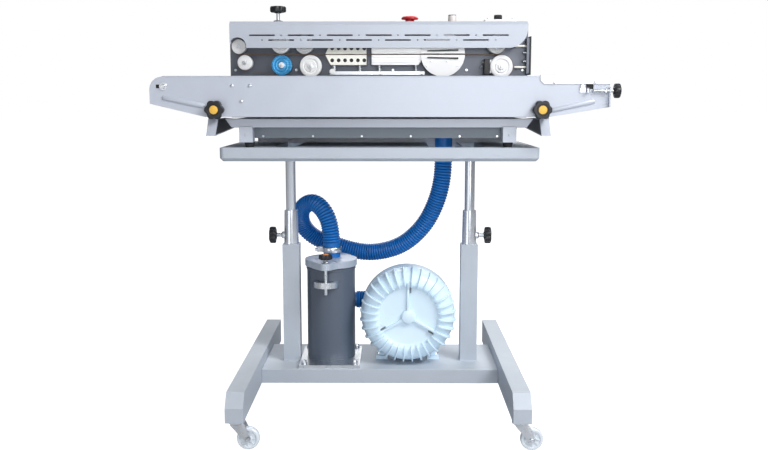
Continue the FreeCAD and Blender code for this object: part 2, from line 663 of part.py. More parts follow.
# ---------------------------------------------------------------- suction set

def canister_body():
    body = tube(CAN_R, CAN_R - CAN_WALL, (CAN_X, CAN_Y, CAN_BOTTOM), (CAN_X, CAN_Y, CAN_TOP))
    floor = rod(CAN_R - 1, (CAN_X, CAN_Y, CAN_BOTTOM), (CAN_X, CAN_Y, CAN_BOTTOM + 3))
    stub = tube(HOSE_BORE / 2, HOSE_BORE / 2 - 2, (CAN_X + 40, PORT_Y, PORT_Z), (CAN_X + 78, PORT_Y, PORT_Z))
    core = rod(CAN_R - CAN_WALL, (CAN_X, CAN_Y, CAN_BOTTOM + 3), (CAN_X, CAN_Y, CAN_TOP + 1))
    hole = rod(HOSE_BORE / 2 - 2, (CAN_X + 30, PORT_Y, PORT_Z), (CAN_X + 80, PORT_Y, PORT_Z))
    outside = stub.cut(core)
    return join([body, floor, outside]).cut(hole)


def canister_lid():
    disc = rod(LID_R, (CAN_X, CAN_Y, CAN_TOP), (CAN_X, CAN_Y, LID_TOP))
    ears = []
    for s in (-1, 1):
        y = CAN_Y + s * (LID_R + 6)
        x = CAN_X - 8 if s < 0 else CAN_X + 12
        ears.append(rod(17.0, (x, y, CAN_TOP), (x, y, LID_TOP)))
        ears.append(prism([(x - 34, y - s * 16, CAN_TOP), (x + 34, y - s * 16, CAN_TOP),
                           (x + 14, y + s * 9, CAN_TOP), (x - 14, y + s * 9, CAN_TOP)],
                          (0, 0, LID_TOP - CAN_TOP)))
    body = join([disc] + ears)
    spout = rod(HOSE_BORE / 2, (OUTLET_X, OUTLET_Y, LID_TOP - 1), (OUTLET_X, OUTLET_Y, LID_TOP + SPIGOT))
    body = join([body, spout])
    bore = rod(HOSE_BORE / 2 - HOSE_WALL, (OUTLET_X, OUTLET_Y, CAN_TOP - 1),
               (OUTLET_X, OUTLET_Y, LID_TOP + SPIGOT + 1))
    bolt = rod(4.5 + FIT, (CAN_BOLT_X, CAN_BOLT_Y, CAN_TOP - 1), (CAN_BOLT_X, CAN_BOLT_Y, LID_TOP + 1))
    return trim(body, [bore, bolt])


def canister_mount():
    """Foot plate, the crescent lug on the wall and the hose clip on the lid's spout."""
    plate = block(CAN_X - 72, CAN_X + 72, -86, 84, BEAM_TOP, CAN_BOTTOM)
    bolts = []
    for dx in (-60, 60):
        for y in (-72, 70):
            bolts.append(rod(6.5, (CAN_X + dx, y, CAN_BOTTOM - 1), (CAN_X + dx, y, CAN_BOTTOM + 5)))
    plate = join([plate] + bolts)
    z0 = CAN_TOP - 44
    lug = rod(30.0, (CAN_X - 8, CAN_Y - CAN_R + 6, z0), (CAN_X - 8, CAN_Y - CAN_R + 6, z0 + 14))
    window = rod(21.0, (CAN_X - 8, CAN_Y - CAN_R + 8, z0 - 1), (CAN_X - 8, CAN_Y - CAN_R + 8, z0 + 15))
    wall = rod(CAN_R + 0.1, (CAN_X, CAN_Y, z0 - 1), (CAN_X, CAN_Y, z0 + 15))
    lug = trim(lug, [window, wall])
    lug = max(lug.Solids, key=lambda s: s.Volume)
    bolt_hole = rod(4.0 + FIT, (CAN_BOLT_X, CAN_BOLT_Y, z0 - 2), (CAN_BOLT_X, CAN_BOLT_Y, z0 + 16))
    lug = lug.cut(bolt_hole)
    x, y, z = OUTLET_X, OUTLET_Y, LID_TOP + 18
    clip = tube(HOSE_D / 2 + 2.2, HOSE_D / 2 + 0.2, (x, y, z - 6), (x, y, z + 6))
    screw = rod(3.6, (x - 32, y - 4, z), (x - 20, y - 4, z))
    clip = join([clip, screw]).cut(rod(HOSE_D / 2 + 0.2, (x, y, z - 14), (x, y, z + 16)))
    return Part.makeCompound([plate, lug, clip])


def canister_knob():
    z = LID_TOP + 9
    return star_knob((CAN_BOLT_X, CAN_BOLT_Y, z), (0, 0, 1), 16.0, 13.0, 6, 4.0, 86.0)


def canister_filter():
    return tube(38.0, 24.0, (CAN_X, CAN_Y, CAN_BOTTOM + 6), (CAN_X, CAN_Y, CAN_TOP - 6))


def blower_cover():
    """Front casting: a dished disc with a ring of radial fins and three raised spokes."""
    y0 = BLOWER_FRONT
    centre = Vector(BLOWER_X, y0, BLOWER_Z)
    rim = tube(BLOWER_R, 104.0, (BLOWER_X, y0 + 44, BLOWER_Z), (BLOWER_X, y0 + 60, BLOWER_Z))
    wall = rod(106.0, (BLOWER_X, y0 + 20, BLOWER_Z), (BLOWER_X, y0 + 60, BLOWER_Z))
    dish = rod(80.0, (BLOWER_X, y0 + 8, BLOWER_Z), (BLOWER_X, y0 + 22, BLOWER_Z))
    parts = [rim, wall, dish]
    for i in range(FINS):
        fin = block(82, 113, 0, 48, -1.8, 1.8)
        fin.rotate(Vector(0, 0, 0), Vector(0, 1, 0), 360.0 / FINS * (i + 0.5))
        fin.translate(centre)
        parts.append(fin)
    for i in range(3):
        spoke = block(0, 82, 3, 12, -4, 4)
        spoke.rotate(Vector(0, 0, 0), Vector(0, 1, 0), -90 + 120.0 * i)
        spoke.translate(centre)
        parts.append(spoke)
    parts.append(rod(15.0, (BLOWER_X, y0 + 2, BLOWER_Z), (BLOWER_X, y0 + 12, BLOWER_Z)))
    hollow = rod(100.0, (BLOWER_X, y0 + 40, BLOWER_Z), (BLOWER_X, y0 + 61, BLOWER_Z))
    return join(parts).cut(hollow)


def blower_housing():
    y0 = BLOWER_FRONT + 60
    body = rod(112.0, (BLOWER_X, y0, BLOWER_Z), (BLOWER_X, y0 + 40, BLOWER_Z))
    hollow = rod(100.0, (BLOWER_X, y0 - 1, BLOWER_Z), (BLOWER_X, y0 + 24, BLOWER_Z))
    motor = rod(60.0, (BLOWER_X, y0 + 38, BLOWER_Z), (BLOWER_X, y0 + 142, BLOWER_Z))
    fins = []
    for i in range(24):
        fin = block(58, 67, y0 + 40, y0 + 118, -1.2, 1.2)
        fin.rotate(Vector(0, 0, 0), Vector(0, 1, 0), 15.0 * i)
        fin.translate(Vector(BLOWER_X, 0, BLOWER_Z))
        fins.append(fin)
    box = block(BLOWER_X - 30, BLOWER_X + 30, y0 + 60, y0 + 120, BLOWER_Z + 56, BLOWER_Z + 92)
    port = block(-26, 30, PORT_Y - 26, PORT_Y + 26, PORT_Z - 26, PORT_Z + 26)
    stub = rod(HOSE_BORE / 2, (-40, PORT_Y, PORT_Z), (-20, PORT_Y, PORT_Z))
    port_bore = rod(HOSE_BORE / 2 - 2, (-42, PORT_Y, PORT_Z), (-5, PORT_Y, PORT_Z))
    outlet = block(104, 160, PORT_Y - 26, PORT_Y + 26, PORT_Z - 26, PORT_Z + 26)
    silencer = rod(21.0, (138, PORT_Y + 20, PORT_Z), (138, PORT_Y + 80, PORT_Z))
    legs = []
    for dx in (-62, 62):
        legs.append(block(BLOWER_X + dx - 14, BLOWER_X + dx + 14, -6, 100, BEAM_TOP, BEAM_TOP + 8))
        legs.append(block(BLOWER_X + dx - 7, BLOWER_X + dx + 7, 2, 24, BEAM_TOP + 6, BLOWER_Z - 70))
        inner = BLOWER_X + dx / 2
        legs.append(block(inner - 7, inner + 7, 70, 92, BEAM_TOP + 6, BLOWER_Z - 46))
        low, high = sorted((inner, BLOWER_X + dx))
        legs.append(block(low - 7, high + 7, 70, 92, BEAM_TOP, BEAM_TOP + 8))
    body = join([body.cut(hollow), motor, box, port, stub, outlet, silencer] + fins + legs)
    bearing = rod(8.0 + FIT, (BLOWER_X, y0 + 10, BLOWER_Z), (BLOWER_X, y0 + 80, BLOWER_Z))
    rotor_room = rod(46.0, (BLOWER_X, y0 + 60, BLOWER_Z), (BLOWER_X, y0 + 130, BLOWER_Z))
    return trim(body, [bearing, port_bore, rotor_room])


def blower_impeller():
    y0 = BLOWER_FRONT + 42
    disc = rod(60.0, (BLOWER_X, y0 + 14, BLOWER_Z), (BLOWER_X, y0 + 24, BLOWER_Z))
    ring = tube(94.0, 58.0, (BLOWER_X, y0 + 10, BLOWER_Z), (BLOWER_X, y0 + 14, BLOWER_Z))
    parts = [disc, ring]
    for i in range(24):
        vane = block(58, 94, y0 + 10, y0 + 28, -1.2, 1.2)
        vane.rotate(Vector(0, 0, 0), Vector(0, 1, 0), 15.0 * i)
        vane.translate(Vector(BLOWER_X, 0, BLOWER_Z))
        parts.append(vane)
    shaft = rod(8.0, (BLOWER_X, y0 + 14, BLOWER_Z), (BLOWER_X, y0 + 140, BLOWER_Z))
    rotor = rod(40.0, (BLOWER_X, y0 + 84, BLOWER_Z), (BLOWER_X, y0 + 136, BLOWER_Z))
    return join(parts + [shaft, rotor])


def hose_solid(route, diameter, name):
    """Straight runs joined by tangent arcs, swept with a round section."""
    points = [Vector(*p) for p in route]
    edges = []
    start = points[0]
    length = 0.0
    radii = []
    for i in range(1, len(points) - 1):
        before = points[i - 1] - points[i]
        after = points[i + 1] - points[i]
        shorter = min(before.Length, after.Length)
        turn = math.pi - before.getAngle(after)
        radius = 0.45 * shorter / math.tan(turn / 2)
        radii.append(round(radius, 1))
        enter = points[i] + before.normalize() * (0.45 * shorter)
        leave = points[i] + after.normalize() * (0.45 * shorter)
        inward = (before + after).normalize()
        middle = points[i] + inward * (radius / math.cos(turn / 2) - radius)
        edges.append(Part.LineSegment(start, enter).toShape())
        edges.append(Part.Arc(enter, middle, leave).toShape())
        length += (enter - start).Length + radius * turn
        start = leave
    edges.append(Part.LineSegment(start, points[-1]).toShape())
    length += (points[-1] - start).Length
    path = Part.Wire(edges)
    section = Part.Wire(Part.makeCircle(diameter / 2, points[0], points[1] - points[0]))
    solid = path.makePipeShell([section], True, False)
    expected = math.pi * diameter * diameter / 4 * length
    print(name, "length", round(length, 1), "arc radii", radii)
    print(name, "volume", round(solid.Volume), "section x length", round(expected))
    return solid


def main_hose():
    outer = hose_solid(HOSE_ROUTE, HOSE_D, "main_hose")
    bore = HOSE_BORE / 2 + 0.1
    end = LID_TOP + SPIGOT + 0.2
    spout = rod(bore, (OUTLET_X, OUTLET_Y, LID_TOP - 1), (OUTLET_X, OUTLET_Y, end))
    x, y, top = HOSE_ROUTE[-1]
    spigot = rod(bore, (x, y, top - SPIGOT - 0.2), (x, y, top + 1))
    return trim(outer, [spout, spigot])


def link_hose():
    bore = HOSE_BORE / 2 + 0.1
    return tube(HOSE_D / 2, bore, (-58.5, PORT_Y, PORT_Z), (-27, PORT_Y, PORT_Z))


# ---------------------------------------------------------------- controls

def stop_button():
    cap = rod(20.5, (71, 100, HEAD_TOP + 15), (71, 100, HEAD_TOP + 23))
    cap = cap.makeFillet(3.0, [e for e in cap.Edges if abs(e.BoundBox.ZMin - HEAD_TOP - 23) < 0.01])
    stem = rod(11.0, (71, 100, HEAD_TOP - 4), (71, 100, HEAD_TOP + 16))
    return join([cap, stem])


def fine_knob():
    cap = rod(9.8, (285, 100, HEAD_TOP + 14), (285, 100, HEAD_TOP + 26))
    stem = rod(5.0, (285, 100, HEAD_TOP - 8), (285, 100, HEAD_TOP + 15))
    return join([cap, stem])


def pressure_knob():
    return star_knob((-244.7, 64, HEAD_TOP + 29), (0, 0, 1), 19.5, 14.0, 7, 4.0, 44.0)


def speed_dial():
    cap = rod(14.0, (-60, HEAD_BACK + GAP, 850), (-60, HEAD_BACK + 14, 850))
    stem = rod(3.0, (-60, HEAD_BACK - 12, 850), (-60, HEAD_BACK + 1, 850))
    pointer = block(-61, -59, HEAD_BACK + 13, HEAD_BACK + 15, 852, 863)
    return join([cap, stem, pointer])


def power_switch():
    y = HEAD_BACK
    return prism([(-10, y - 6, 841), (-10, y + 1.5, 841), (-10, y - 0.5, 850), (-10, y + 4, 859),
                  (-10, y - 6, 859)], (20, 0, 0))


# ---------------------------------------------------------------- export

def group(shapes):
    return Part.makeCompound(shapes)


def parts():
    yield "feet", group([foot(-FOOT_X), foot(FOOT_X)])
    yield "base_beam", base_beam()
    yield "columns", group([column(-COLUMN_X), column(COLUMN_X)])
    yield "sleeves", group([sleeve(-COLUMN_X), sleeve(COLUMN_X)])
    yield "column_knob_left", column_knob(-1)
    yield "column_knob_right", column_knob(1)
    corners = {"front_left": (-FOOT_X, CASTER_FRONT_Y), "front_right": (FOOT_X, CASTER_FRONT_Y),
               "back_left": (-FOOT_X, CASTER_BACK_Y), "back_right": (FOOT_X, CASTER_BACK_Y)}
    for corner, (x, y) in corners.items():
        yield "caster_fork_" + corner, caster_fork(x, y)
        yield "caster_wheel_" + corner, caster_wheel(x, y)
    yield "shelf", shelf()
    yield "inner_tubes", group([inner_tube(-COLUMN_X), inner_tube(COLUMN_X)])
    yield "chassis", chassis()
    spots = [(x, y) for x in (-290, 286) for y in (-118, 168)]
    yield "rubber_feet", group([rubber_foot(x, y) for x, y in spots])
    yield "conveyor_brackets", group([conveyor_bracket(-1), conveyor_bracket(1)])
    yield "head_panel", head_panel()
    yield "head_housing", head_housing()
    yield "drive_unit", drive_unit()
    yield "guard", guard()
    yield "bands", bands()
    yield "heating_blocks", heating_blocks()
    yield "cooling_blocks", cooling_blocks()
    yield "block_rail", block_rail()
    yield "coder_cover", coder_cover()
    yield "coding_wheel", coding_wheel()
    for name in list(UPPER_WHEELS) + list(LOWER_WHEELS):
        yield name, band_wheel(name)
    yield "conveyor_frame", conveyor_frame()
    yield "conveyor_belt", conveyor_belt()
    yield "conveyor_roller_left", conveyor_roller(ROLLER_LEFT_X)
    yield "conveyor_roller_right", conveyor_roller(ROLLER_RIGHT_X)
    yield "discharge_guard", discharge_guard()
    yield "tension_knob", tension_knob()
    yield "star_knob_left", conveyor_star(STAR_X[0])
    yield "star_knob_right", conveyor_star(STAR_X[1])
    yield "canister_body", canister_body()
    yield "canister_lid", canister_lid()
    yield "canister_mount", canister_mount()
    yield "canister_knob", canister_knob()
    yield "canister_filter", canister_filter()
    yield "blower_cover", blower_cover()
    yield "blower_housing", blower_housing()
    yield "blower_impeller", blower_impeller()
    yield "main_hose", main_hose()
    yield "link_hose", link_hose()
    yield "stop_button", stop_button()
    yield "fine_knob", fine_knob()
    yield "pressure_knob", pressure_knob()
    yield "speed_dial", speed_dial()
    yield "power_switch", power_switch()


def main():
    os.makedirs("parts", exist_ok=True)
    envelope = FreeCAD.BoundBox()
    count = 0
    for name, shape in parts():
        shape = shape.copy()
        shape.translate(Vector(-ORIGIN_X, -ORIGIN_Y, 0))
        solids = len(shape.Solids)
        print(name, "solids", solids, "volume", round(shape.Volume), "valid", shape.isValid())
        envelope.add(shape.BoundBox)
        shape.exportStep("parts/" + name + ".step")
        count += 1
    print("nodes", count)
    print("x", round(envelope.XMin, 2), round(envelope.XMax, 2))
    print("y", round(envelope.YMin, 2), round(envelope.YMax, 2))
    print("z", round(envelope.ZMin, 2), round(envelope.ZMax, 2))


main()
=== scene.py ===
"""Looks of a continuous band sealer on a castered stand: finishes, hoses, castings and hardware.

It is laid out as an add-on and run as a script. Sizes named in millimetres are measured from
the middle of the stand's two columns, on the floor.
"""

import json
import math

import bmesh
import bpy
from bpy.props import FloatProperty, FloatVectorProperty, IntProperty, PointerProperty
from bpy.types import Operator, Panel, PropertyGroup
from mathutils import Matrix, Vector


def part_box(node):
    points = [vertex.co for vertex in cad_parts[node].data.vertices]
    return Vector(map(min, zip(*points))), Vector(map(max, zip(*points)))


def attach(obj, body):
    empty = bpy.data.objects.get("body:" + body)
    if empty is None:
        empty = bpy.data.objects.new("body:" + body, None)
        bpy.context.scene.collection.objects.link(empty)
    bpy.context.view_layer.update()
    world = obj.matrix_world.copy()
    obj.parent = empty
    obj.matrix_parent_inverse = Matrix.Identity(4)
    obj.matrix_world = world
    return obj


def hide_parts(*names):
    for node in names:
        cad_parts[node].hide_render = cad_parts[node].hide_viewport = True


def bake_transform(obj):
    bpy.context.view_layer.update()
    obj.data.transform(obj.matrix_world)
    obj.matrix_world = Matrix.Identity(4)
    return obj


bl_info = {
    "name": "Band Sealer Workshop",
    "version": (1, 0, 0),
    "blender": (4, 5, 0),
    "location": "3D View > Sidebar > Band Sealer",
    "description": "Builds the finishes, hoses, castings and hardware of a band sealer",
    "category": "Object",
}

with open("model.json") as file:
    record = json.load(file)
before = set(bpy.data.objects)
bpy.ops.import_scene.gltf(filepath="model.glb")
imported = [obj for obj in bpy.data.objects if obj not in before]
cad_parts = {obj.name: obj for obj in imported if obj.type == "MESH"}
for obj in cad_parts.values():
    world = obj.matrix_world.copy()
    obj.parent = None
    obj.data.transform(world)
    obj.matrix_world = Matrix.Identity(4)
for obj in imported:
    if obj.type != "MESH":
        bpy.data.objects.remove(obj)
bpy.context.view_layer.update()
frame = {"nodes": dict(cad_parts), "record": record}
MM = 0.001

# Places that several pieces share, in millimetres from the middle of the columns.
LOCK_HEIGHT = 404.0
FRONT_PLATE = -160.0
TENSION_AXIS = (-164.5, 744.0)
BAND_LINE = 830.0
HEAD_TOP = 903.0
WHEEL_FACE = 4.0


def middle_of(node):
    low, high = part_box(node)
    return (Vector(low) + Vector(high)) / 2


STAND = middle_of("columns")


def at(x, y, z):
    """A place in millimetres from the middle of the columns, as a point in the row frame."""
    return Vector((STAND.x + x * MM, STAND.y + y * MM, z * MM))


def edge(node, axis, side):
    """One face of a node's box, in metres: axis 0, 1 or 2, side 0 for low or 1 for high."""
    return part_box(node)[side][axis]


# ---------------------------------------------------------------- settings


def paint(name, description, value):
    return FloatVectorProperty(name=name, description=description, subtype="COLOR", size=3,
                               default=value, min=0.0, max=1.0)


def length(name, description, value):
    return FloatProperty(name=name, description=description, default=value * MM, min=0.0,
                         subtype="DISTANCE", unit="LENGTH")


class SealerPaints(PropertyGroup):
    """Colours that an owner could order differently."""

    stand: paint("Stand paint", "Powder coat of the feet, beam, columns and shelf", (0.47, 0.52, 0.59))
    machine: paint("Machine paint", "Silver grey enamel of the conveyor and covers", (0.53, 0.57, 0.655))
    head: paint("Head paint", "Graphite enamel of the head", (0.165, 0.18, 0.222))
    canister: paint("Canister paint", "Graphite enamel of the filter canister", (0.088, 0.112, 0.155))
    blower: paint("Blower paint", "Pale blue enamel of the blower castings", (0.70, 0.87, 1.0))
    hose: paint("Hose blue", "Moulded blue of the corrugated hose", (0.0, 0.20, 0.68))
    belt: paint("Belt green", "Woven conveyor belt", (0.02, 0.075, 0.065))


class HoseSizes(PropertyGroup):
    """Sizes of the corrugated suction hose."""

    outside: length("Outside", "Diameter over the ribs", 43.0)
    pitch: length("Rib pitch", "Distance from one rib to the next", 6.6)
    rib: length("Rib height", "Depth of the groove between ribs", 2.1)
    around: IntProperty(name="Sides", description="Faces round the hose", default=40, min=12, max=96)


class HardwareSizes(PropertyGroup):
    """Screws and rivets."""

    screw: length("Screw head", "Radius of a common screw head", 4.0)
    rivet: length("Rivet head", "Radius of a dome rivet", 3.8)


class StageLight(PropertyGroup):
    """Camera and studio light."""

    lens: FloatProperty(name="Lens", description="Focal length in millimetres", default=42.2, min=10.0)
    key: FloatProperty(name="Key power", description="Watts of the large top light", default=72.0, min=0.0)
    sky: FloatProperty(name="Room light", description="Strength of the even room light", default=0.36,
                       min=0.0)


def settings():
    return bpy.context.scene.band_sealer


class SealerSettings(PropertyGroup):
    """Everything that a user would change."""

    paints: PointerProperty(type=SealerPaints)
    hose: PointerProperty(type=HoseSizes)
    hardware: PointerProperty(type=HardwareSizes)
    light: PointerProperty(type=StageLight)


# ---------------------------------------------------------------- node building


class Wiring:
    """Adds nodes to a tree and joins them, left to right."""

    def __init__(self, tree):
        self.tree = tree

    def node(self, kind, inputs=None, **values):
        made = self.tree.nodes.new(kind)
        for name, value in values.items():
            setattr(made, name, value)
        for key, value in (inputs or {}).items():
            self.feed(made.inputs[key], value)
        return made

    def feed(self, socket, value):
        if isinstance(value, bpy.types.NodeSocket):
            self.tree.links.new(value, socket)
        else:
            socket.default_value = value

    def maths(self, operation, first, second=0.0, third=0.0):
        made = self.node("ShaderNodeMath", operation=operation)
        self.feed(made.inputs[0], first)
        self.feed(made.inputs[1], second)
        self.feed(made.inputs[2], third)
        return made.outputs[0]

    def mix(self, factor, first, second, kind="RGBA", blend="MIX"):
        made = self.node("ShaderNodeMix", data_type=kind)
        if kind == "RGBA":
            made.blend_type = blend
        pick = {"RGBA": ("A_Color", "B_Color", "Result_Color"),
                "FLOAT": ("A_Float", "B_Float", "Result_Float")}[kind]
        by_id = {s.identifier: s for s in list(made.inputs) + list(made.outputs)}
        self.feed(by_id["Factor_Float"], factor)
        self.feed(by_id[pick[0]], first)
        self.feed(by_id[pick[1]], second)
        return by_id[pick[2]]


def socket_kind(value):
    """The socket that suits a default: a number, a count, a colour, a direction, or its name."""
    if isinstance(value, str):
        return "NodeSocket" + value
    if isinstance(value, tuple):
        return "NodeSocketColor" if len(value) == 4 else "NodeSocketVector"
    return "NodeSocketInt" if isinstance(value, int) else "NodeSocketFloat"


def open_group(name, kind, inputs, outputs):
    tree = bpy.data.node_groups.new(name, kind)
    for title, value in inputs.items():
        made = tree.interface.new_socket(title, in_out="INPUT", socket_type=socket_kind(value))
        if not isinstance(value, str):
            made.default_value = value
    for title, value in outputs.items():
        tree.interface.new_socket(title, in_out="OUTPUT", socket_type=socket_kind(value))
    wiring = Wiring(tree)
    return tree, wiring, wiring.node("NodeGroupInput"), wiring.node("NodeGroupOutput")


def surface_grain_group():
    """Mottled colour, uneven gloss and fine orange peel, as on paint and mouldings."""
    tree, w, given, out = open_group(
        "surface_grain", "ShaderNodeTree",
        {"Vector": "Vector", "Colour": (0.5, 0.5, 0.5, 1), "Patch Size": 20.0, "Grain Size": 900.0,
         "Colour Spread": 0.06, "Roughness": 0.4, "Roughness Spread": 0.1},
        {"Colour": "Color", "Roughness": "Float", "Height": "Float"})
    patch = w.node("ShaderNodeTexNoise", {"Vector": given.outputs["Vector"],
                                          "Scale": given.outputs["Patch Size"], "Detail": 5.0,
                                          "Roughness": 0.6})
    grain = w.node("ShaderNodeTexNoise", {"Vector": given.outputs["Vector"],
                                          "Scale": given.outputs["Grain Size"], "Detail": 2.0})
    centred = w.maths("SUBTRACT", patch.outputs[0], 0.5)
    gain = w.maths("MULTIPLY_ADD", centred, w.maths("MULTIPLY", given.outputs["Colour Spread"], 2.0), 1.0)
    grey = w.node("ShaderNodeCombineColor", {0: gain, 1: gain, 2: gain})
    w.feed(out.inputs["Colour"], w.mix(1.0, given.outputs["Colour"], grey.outputs[0], blend="MULTIPLY"))
    both = w.maths("ADD", centred, w.maths("MULTIPLY_ADD", grain.outputs[0], 0.5, -0.25))
    rough = w.maths("MULTIPLY_ADD", both, given.outputs["Roughness Spread"], given.outputs["Roughness"])
    w.feed(out.inputs["Roughness"], rough)
    w.feed(out.inputs["Height"], grain.outputs[0])
    return tree


def drawn_lines_group():
    """Fine parallel marks left by brushing, turning or drawing a metal."""
    tree, w, given, out = open_group(
        "drawn_lines", "ShaderNodeTree",
        {"Vector": "Vector", "Across": (900.0, 30.0, 30.0), "Strength": 0.3}, {"Mask": "Float"})
    stretched = w.node("ShaderNodeVectorMath", {0: given.outputs["Vector"], 1: given.outputs["Across"]},
                       operation="MULTIPLY")
    lines = w.node("ShaderNodeTexNoise", {"Vector": stretched.outputs[0], "Scale": 1.0, "Detail": 3.0})
    centred = w.maths("SUBTRACT", lines.outputs[0], 0.5)
    w.feed(out.inputs["Mask"], w.maths("MULTIPLY", centred, given.outputs["Strength"]))
    return tree


def dust_and_top_light_group():
    """Workshop dust and painted top light: a pale film in patches on faces that look up, lightening the
    tops.
    """
    tree, w, given, out = open_group(
        "dust_and_top_light", "ShaderNodeTree",
        {"Vector": "Vector", "Amount": 0.1, "Patch Size": 14.0}, {"Mask": "Float"})
    facing = w.node("ShaderNodeSeparateXYZ", {0: w.node("ShaderNodeNewGeometry").outputs["Normal"]})
    up = w.maths("MAXIMUM", facing.outputs["Z"], 0.0)
    patch = w.node("ShaderNodeTexNoise", {"Vector": given.outputs["Vector"],
                                          "Scale": given.outputs["Patch Size"], "Detail": 6.0})
    ragged = w.maths("MULTIPLY", w.maths("POWER", up, 3.0), patch.outputs[0])
    w.feed(out.inputs["Mask"], w.maths("MULTIPLY", ragged, given.outputs["Amount"]))
    return tree


def shared_group(name):
    makers = {"surface_grain": surface_grain_group, "drawn_lines": drawn_lines_group,
              "dust_and_top_light": dust_and_top_light_group}
    return bpy.data.node_groups.get(name) or makers[name]()


# Pale colour for faces that look up: partly dust, partly painted light from above.
DUST_AND_LIGHT = (0.72, 0.76, 0.80, 1.0)


def make_finish(name, colour, roughness, metallic=0.0, coat=0.0, spread=0.05, gloss_spread=0.12,
                patch=18.0, grain=900.0, bump=0.06, lines=None, dust_and_light=0.15, rib=None, weave=None):
    """One procedural finish. Colour, roughness and height come from the shared groups."""
    material = bpy.data.materials.new(name)
    material.use_nodes = True
    tree = material.node_tree
    tree.nodes.clear()
    w = Wiring(tree)
    place = w.node("ShaderNodeTexCoord").outputs["Object"]
    base = tuple(colour)[:3] + (1.0,)
    # Painted shade: the grooves between the hose's ribs are mixed toward the darker rib colour, by the
    # stored rib height.
    if rib:
        groove_shading = w.node("ShaderNodeAttribute", attribute_name="rib").outputs["Fac"]
        base = w.mix(groove_shading, tuple(rib) + (1.0,), base)
    surface = w.node("ShaderNodeGroup", node_tree=shared_group("surface_grain"))
    for key, value in (("Vector", place), ("Colour", base), ("Patch Size", patch), ("Grain Size", grain),
                       ("Colour Spread", spread), ("Roughness", roughness),
                       ("Roughness Spread", gloss_spread)):
        w.feed(surface.inputs[key], value)
    tint = surface.outputs["Colour"]
    gloss = surface.outputs["Roughness"]
    height = surface.outputs["Height"]
    if lines:
        drawn = w.node("ShaderNodeGroup", node_tree=shared_group("drawn_lines"))
        w.feed(drawn.inputs["Vector"], place)
        w.feed(drawn.inputs["Across"], lines)
        gloss = w.maths("ADD", gloss, drawn.outputs["Mask"])
        height = w.maths("ADD", height, drawn.outputs["Mask"])
    if weave:
        warp = w.node("ShaderNodeTexWave", {"Vector": place, "Scale": weave, "Distortion": 0.4},
                      bands_direction="X")
        weft = w.node("ShaderNodeTexWave", {"Vector": place, "Scale": weave, "Distortion": 0.4},
                      bands_direction="Y")
        threads = w.maths("MULTIPLY", warp.outputs["Fac"], weft.outputs["Fac"])
        tint = w.mix(w.maths("MULTIPLY", threads, 0.5), tint, (0.08, 0.14, 0.12, 1.0))
        height = w.maths("ADD", height, threads)
    # Dust and painted light: faces that look up are mixed toward a pale colour, partly dust, partly the
    # light falling on tops.
    if dust_and_light:
        pale_top = w.node("ShaderNodeGroup", node_tree=shared_group("dust_and_top_light"))
        w.feed(pale_top.inputs["Vector"], place)
        w.feed(pale_top.inputs["Amount"], dust_and_light)
        tint = w.mix(pale_top.outputs["Mask"], tint, DUST_AND_LIGHT)
        gloss = w.maths("ADD", gloss, w.maths("MULTIPLY", pale_top.outputs["Mask"], 0.4))
    relief = w.node("ShaderNodeBump", {"Height": height, "Strength": bump, "Distance": 0.0004})
    shader = w.node("ShaderNodeBsdfPrincipled", {"Base Color": tint, "Roughness": gloss,
                                                 "Metallic": metallic, "Coat Weight": coat,
                                                 "Normal": relief.outputs[0]})
    shader.inputs["Coat Roughness"].default_value = 0.12
    w.node("ShaderNodeOutputMaterial", {"Surface": shader.outputs[0]})
    return material


